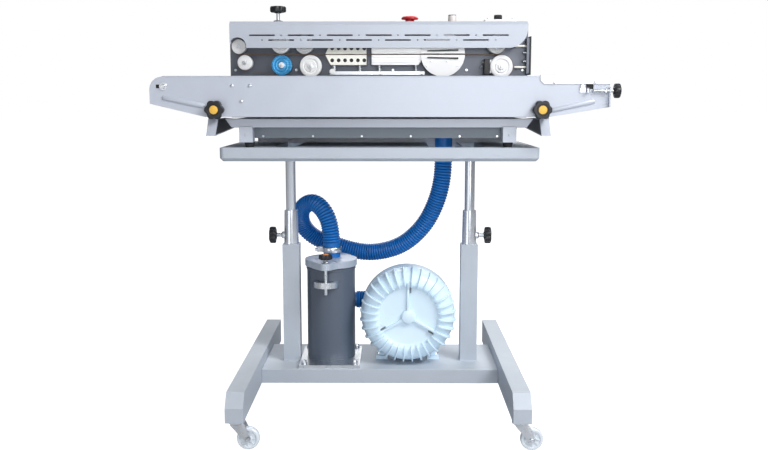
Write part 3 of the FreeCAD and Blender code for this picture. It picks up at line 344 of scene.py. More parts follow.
def finish_recipes():
    p = settings().paints
    along_y = (60.0, 900.0, 60.0)
    along_x = (40.0, 900.0, 900.0)
    turned = (30.0, 30.0, 1400.0)
    return {
        # The stand's strong dust_and_light is partly painted light that brightens its up-facing tops.
        "stand_paint": dict(colour=p.stand, roughness=0.46, metallic=0.15, grain=1500.0, bump=0.16,
                            dust_and_light=0.7),
        "machine_paint": dict(colour=p.machine, roughness=0.38, metallic=0.15, grain=1500.0, bump=0.10),
        "head_paint": dict(colour=p.head, roughness=0.34, metallic=0.35, grain=1300.0, bump=0.12),
        # Painted shade: a dark steel colour for the pan, which lies in the conveyor's shadow.
        "painted_pan_shade": dict(colour=(0.19, 0.22, 0.255), roughness=0.45, metallic=0.2, bump=0.12),
        "canister_paint": dict(colour=p.canister, roughness=0.33, coat=0.25, patch=9.0, bump=0.10),
        "blower_paint": dict(colour=p.blower, roughness=0.38, coat=0.3, spread=0.035, grain=500.0,
                             bump=0.14, dust_and_light=0.05),
        "motor_iron": dict(colour=(0.11, 0.13, 0.15), roughness=0.6, grain=420.0, bump=0.4),
        "chrome": dict(colour=(0.80, 0.84, 0.90), roughness=0.15, metallic=0.7, spread=0.02,
                       gloss_spread=0.05, lines=turned, bump=0.01, dust_and_light=0.03),
        "zinc": dict(colour=(0.74, 0.77, 0.81), roughness=0.3, metallic=1.0, spread=0.12, patch=45.0,
                     lines=along_y, bump=0.05),
        "aluminium": dict(colour=(0.88, 0.88, 0.90), roughness=0.36, metallic=0.35, spread=0.05,
                          lines=along_x, bump=0.08, dust_and_light=0.05),
        "cast_aluminium": dict(colour=(0.50, 0.56, 0.65), roughness=0.40, metallic=0.4, spread=0.08,
                               grain=380.0, bump=0.28, dust_and_light=0.05),
        "brass": dict(colour=(1.0, 0.98, 0.91), roughness=0.38, metallic=0.05, spread=0.08,
                      lines=along_x, bump=0.06),
        "black_plastic": dict(colour=(0.012, 0.013, 0.016), roughness=0.38, grain=1200.0, bump=0.15,
                              dust_and_light=0.04),
        "yellow_cap": dict(colour=(0.86, 0.50, 0.07), roughness=0.35, spread=0.04, dust_and_light=0.0),
        "orange_cap": dict(colour=(0.85, 0.30, 0.06), roughness=0.35, spread=0.04, dust_and_light=0.0),
        "red_plastic": dict(colour=(0.62, 0.015, 0.02), roughness=0.3, spread=0.04, dust_and_light=0.04),
        "white_plastic": dict(colour=(0.88, 0.88, 0.90), roughness=0.3, coat=0.2, spread=0.03, dust_and_light=0.03),
        "lamp_lens": dict(colour=(0.80, 0.74, 0.72), roughness=0.18, coat=0.6, spread=0.05, dust_and_light=0.0),
        "caster_plastic": dict(colour=(0.72, 0.78, 0.84), roughness=0.28, coat=0.3, spread=0.05,
                               dust_and_light=0.08),
        "rubber": dict(colour=(0.016, 0.016, 0.018), roughness=0.62, grain=700.0, bump=0.2),
        "white_rubber": dict(colour=(0.90, 0.90, 0.91), roughness=0.45, grain=700.0, bump=0.15, dust_and_light=0.03),
        "blue_anodised": dict(colour=(0.08, 0.40, 0.74), roughness=0.26, metallic=0.55, spread=0.06,
                              lines=turned, bump=0.04, dust_and_light=0.02),
        "ptfe": dict(colour=(0.17, 0.085, 0.05), roughness=0.42, spread=0.12, patch=60.0, weave=260.0,
                     bump=0.12, dust_and_light=0.0),
        "belt_green": dict(colour=p.belt, roughness=0.6, spread=0.10, weave=150.0, bump=0.3),
        "filter_felt": dict(colour=(0.62, 0.60, 0.52), roughness=0.9, grain=600.0, bump=0.6),
        # rib: colour of the painted shade in the hose's grooves.
        "hose_blue": dict(colour=p.hose, roughness=0.40, coat=0.05, spread=0.07, patch=30.0,
                          rib=(0.0, 0.075, 0.28), bump=0.05, dust_and_light=0.0),
    }


def finish(name):
    title = name + "_finish"
    return bpy.data.materials.get(title) or make_finish(title, **finish_recipes()[name])


# ---------------------------------------------------------------- mesh building


def keep(obj, body, material, replaces=()):
    """Gives a piece its finish and its body, and hides the CAD nodes that it stands for."""
    obj.data.materials.clear()
    obj.data.materials.append(finish(material))
    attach(obj, body)
    if replaces:
        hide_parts(*replaces)
    return obj


def object_from(name, bm, smooth_angle=32.0):
    mesh = bpy.data.meshes.new(name)
    bm.to_mesh(mesh)
    bm.free()
    obj = bpy.data.objects.new(name, mesh)
    bpy.context.scene.collection.objects.link(obj)
    mesh.shade_smooth()
    mesh.set_sharp_from_angle(angle=math.radians(smooth_angle))
    return obj


def round_edges(obj, width, angle=34.0):
    bevel = obj.modifiers.new("rounding", "BEVEL")
    bevel.width = width
    bevel.segments = 2
    bevel.limit_method = "ANGLE"
    bevel.angle_limit = math.radians(angle)
    bevel.harden_normals = True
    bevel.use_clamp_overlap = True
    return obj


def rounded_copy(node, material, width):
    """A node's own shape with its facets merged, its edges rounded and its finish on."""
    source = frame["nodes"][node]
    bm = bmesh.new()
    bm.from_mesh(source.data)
    bmesh.ops.transform(bm, matrix=source.matrix_world, verts=bm.verts)
    bmesh.ops.remove_doubles(bm, verts=bm.verts, dist=0.000002)
    bmesh.ops.dissolve_limit(bm, angle_limit=math.radians(0.6), verts=bm.verts, edges=bm.edges)
    obj = object_from(node + "_finished", bm)
    if width > 0:
        round_edges(obj, width)
    return keep(obj, body_of(node), material, replaces=(node,))


def body_of(node):
    for body, nodes in frame["record"]["behaviour"]["bodies"].items():
        if node in nodes:
            return body
    raise ValueError("no body holds " + node)


def turn_to(axis):
    return Vector((0, 0, 1)).rotation_difference(Vector(axis)).to_matrix().to_4x4()


def add_ring(bm, place, height, radii):
    """One round of points, evenly spaced, each at its own radius."""
    turns = [2 * math.pi * i / len(radii) for i in range(len(radii))]
    return [bm.verts.new(place @ Vector((r * math.cos(a), r * math.sin(a), height)))
            for r, a in zip(radii, turns)]


def join_rings(bm, rings):
    """Faces from each ring to the next. A ring may be a single point."""
    for low, high in zip(rings, rings[1:]):
        count = max(len(low), len(high))
        for i in range(count if count > 1 else 0):
            j = (i + 1) % count
            if len(low) == 1:
                bm.faces.new((low[0], high[j], high[i]))
            elif len(high) == 1:
                bm.faces.new((low[i], low[j], high[0]))
            else:
                bm.faces.new((low[i], low[j], high[j], high[i]))


def add_lathe(bm, profile, origin, axis, sides=40):
    """Revolves points of (radius, height) in metres about an axis through origin."""
    place = Matrix.Translation(origin) @ turn_to(axis)
    join_rings(bm, [add_ring(bm, place, height, [radius] * (sides if radius > 1e-7 else 1))
                    for radius, height in profile])


def add_disc(bm, radius, height, origin, axis, sides):
    add_lathe(bm, [(0, 0), (radius, 0), (radius, height), (0, height)], origin, axis, sides)


def add_loft(bm, rows):
    """Joins rows of points into a tube and closes both ends."""
    rings = [[bm.verts.new(place) for place in row] for row in rows]
    join_rings(bm, rings)
    bm.faces.new(rings[0])
    bm.faces.new(list(reversed(rings[-1])))


def outward(name, bm, smooth_angle=32.0):
    bmesh.ops.recalc_face_normals(bm, faces=bm.faces)
    return object_from(name, bm, smooth_angle)


def lathe(name, profile_mm, origin, axis, sides=40):
    bm = bmesh.new()
    add_lathe(bm, [(r * MM, h * MM) for r, h in profile_mm], origin, axis, sides)
    return outward(name, bm)


def add_box(bm, low, high):
    made = bmesh.ops.create_cube(bm, size=1.0)["verts"]
    low, high = Vector(low), Vector(high)
    for v in made:
        v.co = Vector(low[i] if v.co[i] < 0 else high[i] for i in range(3))
    return made


def box_piece(name, corners, width=0.0006):
    bm = bmesh.new()
    for low, high in corners:
        add_box(bm, low, high)
    return round_edges(object_from(name, bm), width)


def rod_piece(name, ends, radius, sides=20):
    bm = bmesh.new()
    for start, end in ends:
        run = end - start
        chamfer = min(radius * 0.25, run.length * 0.2)
        add_lathe(bm, [(0, 0), (radius - chamfer, 0), (radius, chamfer), (radius, run.length - chamfer),
                       (radius - chamfer, run.length), (0, run.length)], start, run, sides)
    return object_from(name, bm)


# ---------------------------------------------------------------- repeated hardware


def repeat(w, points, part, rotation):
    """A real copy of a part at every point."""
    placed = w.node("GeometryNodeInstanceOnPoints", {"Points": points, "Instance": part,
                                                     "Rotation": rotation})
    return w.node("GeometryNodeRealizeInstances", {"Geometry": placed.outputs[0]})


def paint_and_end(w, given, out, last):
    """Gives a tree's last shape its finish and sends it out."""
    painted = w.node("GeometryNodeSetMaterial", {"Geometry": last.outputs[0],
                                                 "Material": given.outputs["Finish"]})
    w.feed(out.inputs["Geometry"], painted.outputs[0])


def screw_tree():
    """Heads on points: a domed head with a hexagon socket, turned to face each point's way."""
    tree, w, given, out = open_group(
        "screw_heads", "GeometryNodeTree",
        {"Geometry": "Geometry", "Radius": 0.004, "Height": 0.003, "Socket": 0.45, "Sides": 16,
         "Finish": "Material"}, {"Geometry": "Geometry"})
    radius = given.outputs["Radius"]
    height = given.outputs["Height"]
    head = w.node("GeometryNodeMeshCone", {"Vertices": given.outputs["Sides"],
                                           "Radius Top": w.maths("MULTIPLY", radius, 0.78),
                                           "Radius Bottom": radius, "Depth": height})
    recess = w.node("GeometryNodeMeshCylinder",
                    {"Vertices": 6, "Radius": w.maths("MULTIPLY", radius, given.outputs["Socket"]),
                     "Depth": height})
    up = w.node("ShaderNodeCombineXYZ", {"Z": w.maths("MULTIPLY", height, 0.9)})
    lifted = w.node("GeometryNodeTransform", {"Geometry": recess.outputs["Mesh"],
                                              "Translation": up.outputs[0]})
    cut = w.node("GeometryNodeMeshBoolean", operation="DIFFERENCE")
    w.feed(cut.inputs["Mesh 1"], head.outputs["Mesh"])
    w.feed(cut.inputs["Mesh 2"], lifted.outputs[0])
    facing = w.node("GeometryNodeInputNamedAttribute", {"Name": "facing"}, data_type="FLOAT_VECTOR")
    turned = w.node("FunctionNodeAlignRotationToVector", {"Vector": facing.outputs["Attribute"]}, axis="Z")
    real = repeat(w, given.outputs["Geometry"], cut.outputs["Mesh"], turned.outputs[0])
    paint_and_end(w, given, out, real)
    return tree


def settle(obj, tree, **inputs):
    """Runs a node tree on a piece and leaves its result as a plain mesh."""
    modifier = obj.modifiers.new(tree.name, "NODES")
    modifier.node_group = tree
    for item in tree.interface.items_tree:
        if item.item_type == "SOCKET" and item.in_out == "INPUT" and item.name in inputs:
            modifier[item.identifier] = inputs[item.name]
    graph = bpy.context.evaluated_depsgraph_get()
    mesh = bpy.data.meshes.new_from_object(obj.evaluated_get(graph), depsgraph=graph)
    name = obj.name
    bpy.data.objects.remove(obj)
    made = bpy.data.objects.new(name, mesh)
    mesh.name = name
    bpy.context.scene.collection.objects.link(made)
    mesh.shade_smooth()
    mesh.set_sharp_from_angle(angle=math.radians(34.0))
    return made


def tree_named(name):
    makers = {"screw_heads": screw_tree, "corrugated_hose": hose_tree, "fin_ring": ring_tree}
    return bpy.data.node_groups.get(name) or makers[name]()


def screws(name, body, places, radius, height, socket=0.45, sides=16, material="zinc"):
    """places is a list of (point, way it faces)."""
    mesh = bpy.data.meshes.new(name)
    mesh.from_pydata([tuple(p) for p, _ in places], [], [])
    facing = mesh.attributes.new("facing", "FLOAT_VECTOR", "POINT")
    facing.data.foreach_set("vector", [c for _, way in places for c in way])
    obj = bpy.data.objects.new(name, mesh)
    bpy.context.scene.collection.objects.link(obj)
    made = settle(obj, tree_named("screw_heads"), Radius=radius, Height=height, Socket=socket,
                  Sides=sides, Finish=finish(material))
    return keep(made, body, material)


def spots(way, xs, ys, zs):
    """A place at every mix of the given millimetres, all facing one way."""
    return [(at(x, y, z), way) for x in xs for y in ys for z in zs]


def ring_tree():
    """Copies of one fin, evenly round a circle in the XZ plane."""
    tree, w, given, out = open_group(
        "fin_ring", "GeometryNodeTree",
        {"Geometry": "Geometry", "Count": 32, "Offset": 0.5, "Centre": (0, 0, 0), "Finish": "Material"},
        {"Geometry": "Geometry"})
    points = w.node("GeometryNodePoints", {"Count": given.outputs["Count"]})
    index = w.node("GeometryNodeInputIndex").outputs[0]
    step = w.maths("DIVIDE", 2 * math.pi, given.outputs["Count"])
    turn = w.maths("MULTIPLY", w.maths("ADD", index, given.outputs["Offset"]), step)
    spin = w.node("ShaderNodeCombineXYZ", {"Y": turn})
    real = repeat(w, points.outputs[0], given.outputs["Geometry"], spin.outputs[0])
    moved = w.node("GeometryNodeTransform", {"Geometry": real.outputs[0],
                                             "Translation": given.outputs["Centre"]})
    paint_and_end(w, given, out, moved)
    return tree


def hose_tree():
    """A ribbed tube along a curve, smooth at its two cuffs. The rib height is kept as "rib", for the painted
    shade in the grooves.
    """
    tree, w, given, out = open_group(
        "corrugated_hose", "GeometryNodeTree",
        {"Geometry": "Geometry", "Radius": 0.0215, "Pitch": 0.0066, "Rib": 0.002, "Cuff": 0.03,
         "Sides": 40, "Finish": "Material"}, {"Geometry": "Geometry"})
    pitch = given.outputs["Pitch"]
    even = w.node("GeometryNodeResampleCurve", {"Curve": given.outputs["Geometry"]}, mode="LENGTH")
    w.feed(even.inputs["Length"], w.maths("DIVIDE", pitch, 8.0))
    along = w.node("GeometryNodeSplineParameter").outputs["Length"]
    whole = w.node("GeometryNodeSplineLength").outputs["Length"]
    to_end = w.maths("MINIMUM", along, w.maths("SUBTRACT", whole, along))
    beyond = w.maths("GREATER_THAN", to_end, given.outputs["Cuff"])
    wave = w.maths("COSINE", w.maths("MULTIPLY", w.maths("DIVIDE", along, pitch), 2 * math.pi))
    ridge = w.maths("POWER", w.maths("MULTIPLY_ADD", wave, 0.5, 0.5), 0.7)
    height = w.mix(beyond, 0.62, ridge, kind="FLOAT")
    stored = w.node("GeometryNodeStoreNamedAttribute", {"Geometry": even.outputs[0], "Name": "rib",
                                                        "Value": height}, data_type="FLOAT",
                    domain="POINT")
    drop = w.maths("MULTIPLY", w.maths("SUBTRACT", 1.0, height), given.outputs["Rib"])
    radius = w.maths("SUBTRACT", given.outputs["Radius"], drop)
    circle = w.node("GeometryNodeCurvePrimitiveCircle", {"Resolution": given.outputs["Sides"],
                                                         "Radius": 1.0})
    sized = w.node("GeometryNodeSetCurveRadius", {"Curve": stored.outputs[0], "Radius": radius})
    tube = w.node("GeometryNodeCurveToMesh", {"Curve": sized.outputs[0],
                                              "Profile Curve": circle.outputs["Curve"],
                                              "Fill Caps": True})
    if "Scale" in tube.inputs:
        w.feed(tube.inputs["Scale"], w.node("GeometryNodeInputRadius").outputs[0])
    real = w.node("GeometryNodeRealizeInstances", {"Geometry": tube.outputs[0]})
    paint_and_end(w, given, out, real)
    return tree


def route_curve(name, points, kind="NURBS"):
    curve = bpy.data.curves.new(name, "CURVE")
    curve.dimensions = "3D"
    curve.resolution_u = 24
    spline = curve.splines.new(kind)
    spline.points.add(len(points) - 1)
    for spot, place in zip(spline.points, points):
        spot.co = (*place, 1.0)
    if kind == "NURBS":
        spline.order_u = 3
        spline.use_endpoint_u = True
    obj = bpy.data.objects.new(name, curve)
    bpy.context.scene.collection.objects.link(obj)
    return obj


def line_of(curve):
    """The points that a route's smooth line passes."""
    mesh = bpy.data.meshes.new_from_object(curve)
    points = [v.co.copy() for v in mesh.vertices]
    bpy.data.meshes.remove(mesh)
    return points


# ---------------------------------------------------------------- knobs


def add_star(bm, origin, axis, radius, height, lobes, depth=0.16, sides=96):
    """A lobed moulding: a wavy rim that is rounded at both faces, with a domed middle."""
    place = Matrix.Translation(origin) @ turn_to(axis)
    stations = [(0.30, -0.16), (0.42, -0.14), (0.50, 0.0), (0.90, 0.0), (0.97, 0.06), (1.0, 0.2),
                (1.0, 0.72), (0.96, 0.9), (0.88, 0.99), (0.62, 1.0), (0.56, 0.94), (0.0, 0.94)]
    rings = []
    for share, rise in stations:
        wave = depth * max(0.0, (share - 0.45) / 0.55)
        swells = [(0.5 + 0.5 * math.cos(lobes * 2 * math.pi * i / sides)) ** 0.6
                  for i in range(sides if share else 1)]
        radii = [radius * share * (1 - wave * (1 - swell)) for swell in swells]
        rings.append(add_ring(bm, place, rise * height, radii))
    bm.faces.new(list(reversed(rings[0])))
    join_rings(bm, rings)


def star_piece(node, origin, axis, radius, height, lobes, stem_radius, stem_length, cap=None):
    """Knob, its bright screw and, on some, a coloured cap."""
    body = body_of(node)
    bm = bmesh.new()
    add_star(bm, origin, axis, radius, height, lobes)
    knob = object_from(node + "_moulding", bm)
    keep(knob, body, "black_plastic", replaces=(node,))
    way = Vector(axis).normalized()
    stem = rod_piece(node + "_screw", [(origin - way * stem_length, origin - way * height * 0.1)],
                     stem_radius, 24)
    keep(stem, body, "zinc")
    if cap:
        r = radius * 0.43 / MM
        top = height * 0.93 / MM
        dome = lathe(node + "_cap", [(r, top), (r, top + 1.0), (r * 0.93, top + 1.7),
                                     (r * 0.6, top + 2.3), (0, top + 2.5)], origin, axis, 48)
        keep(dome, body, cap)
    return knob


# ---------------------------------------------------------------- pieces


class SealerStep:
    """What every building step shares."""

    bl_options = {"REGISTER", "UNDO"}

    def execute(self, context):
        self.build()
        return {"FINISHED"}


class SEALER_OT_stage(SealerStep, Operator):
    """Camera, floor and soft studio light"""

    bl_idname = "sealer.stage"
    bl_label = "Stage"

    def build(self):
        light = settings().light
        scene = bpy.context.scene
        camera_data = bpy.data.cameras.new("view")
        camera_data.lens = light.lens
        camera_data.sensor_width = 36.0
        camera = bpy.data.objects.new("view", camera_data)
        camera.location = at(25.7, -2135.0, 722.0)
        camera.rotation_euler = (math.radians(82.16), 0.0, math.radians(0.445))
        scene.collection.objects.link(camera)
        scene.camera = camera
        self.floor()
        self.room(scene, light)
        self.lamps(scene, light)
        scene.view_settings.view_transform = "Standard"
        scene.view_settings.look = "None"

    def floor(self):
        bm = bmesh.new()
        bmesh.ops.create_grid(bm, x_segments=2, y_segments=2, size=30.0)
        ground = object_from("floor", bm)
        pale = bpy.data.materials.new("pale_floor")
        pale.use_nodes = True
        w = Wiring(pale.node_tree)
        shader = pale.node_tree.nodes["Principled BSDF"]
        shader.inputs["Base Color"].default_value = (0.45, 0.46, 0.48, 1.0)
        shader.inputs["Roughness"].default_value = 0.95
        shader.inputs["Emission Strength"].default_value = 1.0
        seen = w.node("ShaderNodeLightPath").outputs["Is Camera Ray"]
        glow = w.mix(seen, (0.05, 0.05, 0.05, 1.0), (0.95, 0.95, 0.95, 1.0))
        w.feed(shader.inputs["Emission Color"], glow)
        ground.data.materials.append(pale)

    def room(self, scene, light):
        world = bpy.data.worlds.new("room")
        world.use_nodes = True
        scene.world = world
        w = Wiring(world.node_tree)
        world.node_tree.nodes.clear()
        ray = w.node("ShaderNodeLightPath").outputs["Is Camera Ray"]
        way = w.node("ShaderNodeSeparateXYZ", {0: w.node("ShaderNodeTexCoord").outputs["Generated"]})
        side = w.maths("ABSOLUTE", way.outputs["X"])
        ramp = w.node("ShaderNodeValToRGB", {"Fac": side})
        ramp.color_ramp.elements[0].color = (1.0, 1.0, 1.0, 1.0)
        ramp.color_ramp.elements[0].position = 0.25
        ramp.color_ramp.elements[1].color = (0.42, 0.44, 0.48, 1.0)
        ramp.color_ramp.elements[1].position = 0.92
        soft = w.node("ShaderNodeBackground", {"Color": ramp.outputs[0], "Strength": light.sky})
        white = w.node("ShaderNodeBackground", {"Color": (1.0, 1.0, 1.0, 1.0), "Strength": 1.0})
        both = w.node("ShaderNodeMixShader", {0: ray, 1: soft.outputs[0], 2: white.outputs[0]})
        w.node("ShaderNodeOutputWorld", {"Surface": both.outputs[0]})

    def lamps(self, scene, light):
        aim = Vector((0, 0, 0.5))
        for name, place, size, share in (
                ("key", (1.7, -1.5, 2.35), 1.3, 1.0), ("fill", (-1.3, -1.9, 0.2), 1.2, 0.09),
                ("low", (0.4, -2.3, 0.85), 1.2, 0.19), ("back", (0.3, 2.2, 2.0), 1.8, 0.4)):
            data = bpy.data.lights.new(name, "AREA")
            data.energy = light.key * share
            data.size = size
            lamp = bpy.data.objects.new(name, data)
            lamp.location = place
            lamp.rotation_euler = (aim - Vector(place)).to_track_quat("-Z", "Y").to_euler()
            scene.collection.objects.link(lamp)


class SEALER_OT_stand(SealerStep, Operator):
    """Feet, beam, columns and chrome tubes"""

    bl_idname = "sealer.stand"
    bl_label = "Stand"

    def build(self):
        for node, width in (("feet", 0.0022), ("base_beam", 0.0015), ("columns", 0.0015)):
            rounded_copy(node, "stand_paint", width)
        for node in ("sleeves", "inner_tubes"):
            rounded_copy(node, "chrome", 0.0005)
        self.collars()
        self.weld_beads()

    def collars(self):
        """A black boss where each lock screw enters its sleeve."""
        bm = bmesh.new()
        for side in (-1, 1):
            add_lathe(bm, [(0.0046, 0), (0.0078, 0), (0.0078, 0.0062), (0.0068, 0.0072), (0.0046, 0.0072),
                           (0.0046, 0)], at(side * 228.5, 0, LOCK_HEIGHT), (side, 0, 0), 32)
        keep(outward("lock_bosses", bm), "stand", "black_plastic")

    def weld_beads(self):
        """Fillet welds at the foot of each column, as a rod round it."""
        ends = []
        for x in (-213.0, 213.0):
            corners = [at(x + dx, dy, 99.4) for dx, dy in ((-20, -20), (20, -20), (20, 20), (-20, 20))]
            ends += list(zip(corners, corners[1:] + corners[:1]))
        keep(rod_piece("column_welds", ends, 0.0014, 10), "stand", "stand_paint")


class SEALER_OT_casters(SealerStep, Operator):
    """Swivel forks and translucent wheels"""

    bl_idname = "sealer.casters"
    bl_label = "Casters"

    def build(self):
        for corner in ("front_left", "front_right", "back_left", "back_right"):
            fork = "caster_fork_" + corner
            wheel = "caster_wheel_" + corner
            rounded_copy(fork, "zinc", 0.0004)
            self.wheel(wheel)
            self.bearing(fork)
            centre = middle_of(wheel)
            nuts = [(centre + Vector((0, side * 0.0136, 0)), (0, side, 0)) for side in (-1, 1)]
            screws(fork + "_nuts", body_of(fork), nuts, 0.0052, 0.0034, 0.4, 6)

    def wheel(self, node):
        """A moulded wheel, thin between rim and hub, with eight short spokes on each side."""
        centre = middle_of(node)
        side = [(3.05, -8.5), (7, -8.5), (7.6, -7.9), (8.0, -5.9), (16.4, -5.9), (17.2, -7.7), (18, -8.5),
                (21.6, -8.5), (23.2, -6.9), (24.0, -3.4)]
        profile = side + [(r, -h) for r, h in reversed(side)] + side[:1]
        tyre = lathe(node + "_moulding", profile, centre, (0, 1, 0), 56)
        keep(tyre, body_of(node), "caster_plastic", replaces=(node,))
        bm = bmesh.new()
        for way in (-1, 1):
            for i in range(8):
                made = add_box(bm, (0.0078, -0.0008, 0), (0.0166, 0.0008, 0.0022))
                place = (Matrix.Translation(centre) @ turn_to((0, way, 0))
                         @ Matrix.Rotation(math.radians(45 * i), 4, "Z"))
                bmesh.ops.transform(bm, matrix=place @ Matrix.Translation((0, 0, 0.0055)), verts=made)
        keep(outward(node + "_spokes", bm), body_of(node), "caster_plastic")

    def bearing(self, fork):
        low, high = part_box(fork)
        pivot = Vector((low[0] + 0.016, (low[1] + high[1]) / 2, 0.0))
        profile = [(9, 55.5), (15, 55.5), (17.6, 57.5), (18.2, 60.5), (17.6, 63.2), (14.0, 64.6), (9, 65.2),
                   (9, 55.5)]
        keep(lathe(fork + "_bearing", profile, pivot, (0, 0, 1), 40), body_of(fork), "zinc")


class SEALER_OT_shelf(SealerStep, Operator):
    """Folded steel shelf under the machine"""

    bl_idname = "sealer.shelf"
    bl_label = "Shelf"

    def build(self):
        rounded_copy("shelf", "stand_paint", 0.0008)
        screws("shelf_bolts", "table", spots((0, 0, -1), (-227, -199, 199, 227), (-22, 22), (593,)),
               0.0055, 0.004, 0.4, 6)


class SEALER_OT_chassis(SealerStep, Operator):
    """Sealer base, rubber feet and conveyor brackets"""

    bl_idname = "sealer.chassis"
    bl_label = "Chassis"

    def build(self):
        rounded_copy("chassis", "machine_paint", 0.0008)
        rounded_copy("rubber_feet", "rubber", 0.0006)
        rounded_copy("conveyor_brackets", "machine_paint", 0.0004)
        self.webs()
        self.bolts()
        self.pan_shade_skin()

    def webs(self):
        """The blackened inner face of each bracket's web."""
        outline = [(-178, 650), (50, 661), (50, 678), (-62, 682), (-147, 682)]
        bm = bmesh.new()
        for x in (-353.7, 349.7):
            add_loft(bm, [[at(x + dx, y, z) for y, z in outline] for dx in (-0.25, 0.25)])
        keep(outward("bracket_blacking", bm, 20.0), "table", "black_plastic")

    def pan_shade_skin(self):
        """Painted shade: dark sheets on the front and underside of the pan, with its flange screws."""
        sheets = [(at(-300.4, -100.6, 639.6), at(298.4, -100.1, 680.2)),
                  (at(-300.4, -100.6, 639.4), at(298.4, 168.4, 639.9))]
        keep(box_piece("pan_shade_skin", sheets, 0.0002), "table", "painted_pan_shade")
        skirt = [(at(-298, 61.4, 622.2), at(296, 61.9, 639.3))]
        keep(box_piece("pan_skirt", skirt, 0.0002), "table", "machine_paint")
        places = spots((0, -1, 0), (-262, -150, -40, 70, 180, 264), (-100.6,), (643.6,))
        screws("pan_screws", "table", places, 0.0028, 0.0016, 0.45, 12)

    def bolts(self):
        sides = (-328.0, 322.0)
        screws("bracket_bolts", "table", spots((0, 0, -1), sides, (44,), (658.6,)), 0.007, 0.0055, 0.4, 6)
        studs = [(at(x, 44, 640), at(x, 44, 654)) for x in sides]
        keep(rod_piece("bracket_studs", studs, 0.004), "table", "zinc")
        screws("foot_block_rivets", "table", spots((0, -1, 0), (-296, 288), (-134.2,), (648,)),
               0.0032, 0.0012, 0.3, 14, "machine_paint")


class SEALER_OT_conveyor(SealerStep, Operator):
    """Conveyor plates, belt, rollers, guard and their screws"""

    bl_idname = "sealer.conveyor"
    bl_label = "Conveyor"

    def build(self):
        rounded_copy("conveyor_frame", "machine_paint", 0.0007)
        rounded_copy("conveyor_belt", "belt_green", 0.0003)
        rounded_copy("discharge_guard", "white_plastic", 0.0006)
        for side in ("left", "right"):
            rounded_copy("conveyor_roller_" + side, "aluminium", 0.0006)
        self.folded_ribs()
        self.rivets()
        self.axle_ends()
        self.tension_thread()
        bead = rod_piece("plate_bead", [(at(-470, -159, 774.5), at(348, -159, 774.5))], 0.0016, 14)
        keep(bead, "conveyor", "machine_paint")

    def folded_ribs(self):
        """A shallow pressed rib along each sloping end of the front plate."""
        section = [(-0.0058, 0.0), (-0.0042, -0.0022), (-0.0014, -0.0034), (0.0014, -0.0034),
                   (0.0042, -0.0022), (0.0058, 0.0)]
        shares = ((0.0, 0.05), (0.03, 0.75), (0.06, 1.0), (0.94, 1.0), (0.97, 0.75), (1.0, 0.05))
        bm = bmesh.new()
        for start, end in (((-474, 730), (-377, 710)), ((470, 722), (371, 701))):
            a, b = (at(x, FRONT_PLATE, z) for x, z in (start, end))
            run = (b - a).normalized()
            across = Vector((-run.z, 0, run.x))
            add_loft(bm, [[a.lerp(b, share) + across * (s * scale) + Vector((0, d * scale, 0))
                           for s, d in section] for share, scale in shares])
        keep(outward("plate_ribs", bm, 60.0), "conveyor", "machine_paint")

    def rivets(self):
        sizes = settings().hardware
        r = sizes.rivet
        bm = bmesh.new()
        for x, z in ((-320, 755), (-281, 755), (-300, 721)):
            add_lathe(bm, [(0, 0.0027), (r * 0.45, 0.0024), (r * 0.8, 0.0016), (r, 0.0), (0, -0.0005)],
                      at(x, FRONT_PLATE, z), (0, -1, 0), 28)
        keep(outward("plate_rivets", bm), "conveyor", "zinc")
        screws("guard_screws", "conveyor", spots((0, -1, 0), (380, 468), (-163.4,), (763,)),
               sizes.screw * 0.85, 0.002, 0.45, 16)

    def axle_ends(self):
        """Washer, screws and sliding nut of the roller axles, with the dark slots behind them."""
        axle = at(-470, FRONT_PLATE, 753.5)
        washer = lathe("axle_washer", [(3, 0), (8.5, 0), (8.5, 1.2), (8.0, 1.6), (3, 1.6), (3, 0)], axle,
                       (0, -1, 0), 36)
        keep(washer, "conveyor", "zinc")
        ends = [(axle + Vector((0, -0.0014, 0)), (0, -1, 0)), (at(440, -161.6, 753.5), (0, -1, 0))]
        screws("axle_screws", "conveyor", ends, 0.0055, 0.0032, 0.5, 20)
        block = box_piece("tension_slide", [(at(434, -162.4, 740), at(447, -160.2, 751))], 0.0005)
        keep(block, "conveyor", "zinc")
        dark = [(at(-486.6, -157.6, 749.2), at(-477.6, -157.2, 757.8)),
                (at(447.5, -157.6, 747.2), at(464.5, -157.2, 759.8))]
        keep(box_piece("slot_shade", dark, 0.0001), "conveyor", "rubber")

    def tension_thread(self):
        """Turns of the tension screw and its two nuts, in front of the plate."""
        bm = bmesh.new()
        for i in range(14):
            add_lathe(bm, [(0.0034, -0.0006), (0.0041, 0.0), (0.0034, 0.0006), (0.0034, -0.0006)],
                      at(462.5 + 1.7 * i, *TENSION_AXIS), (1, 0, 0), 18)
        for x in (449.0, 488.0):
            add_lathe(bm, [(0.0033, 0), (0.0064, 0.0), (0.0068, 0.001), (0.0068, 0.0042), (0.0064, 0.0052),
                           (0.0033, 0.0052), (0.0033, 0)], at(x, *TENSION_AXIS), (1, 0, 0), 6)
        keep(outward("tension_thread", bm), "conveyor", "zinc")


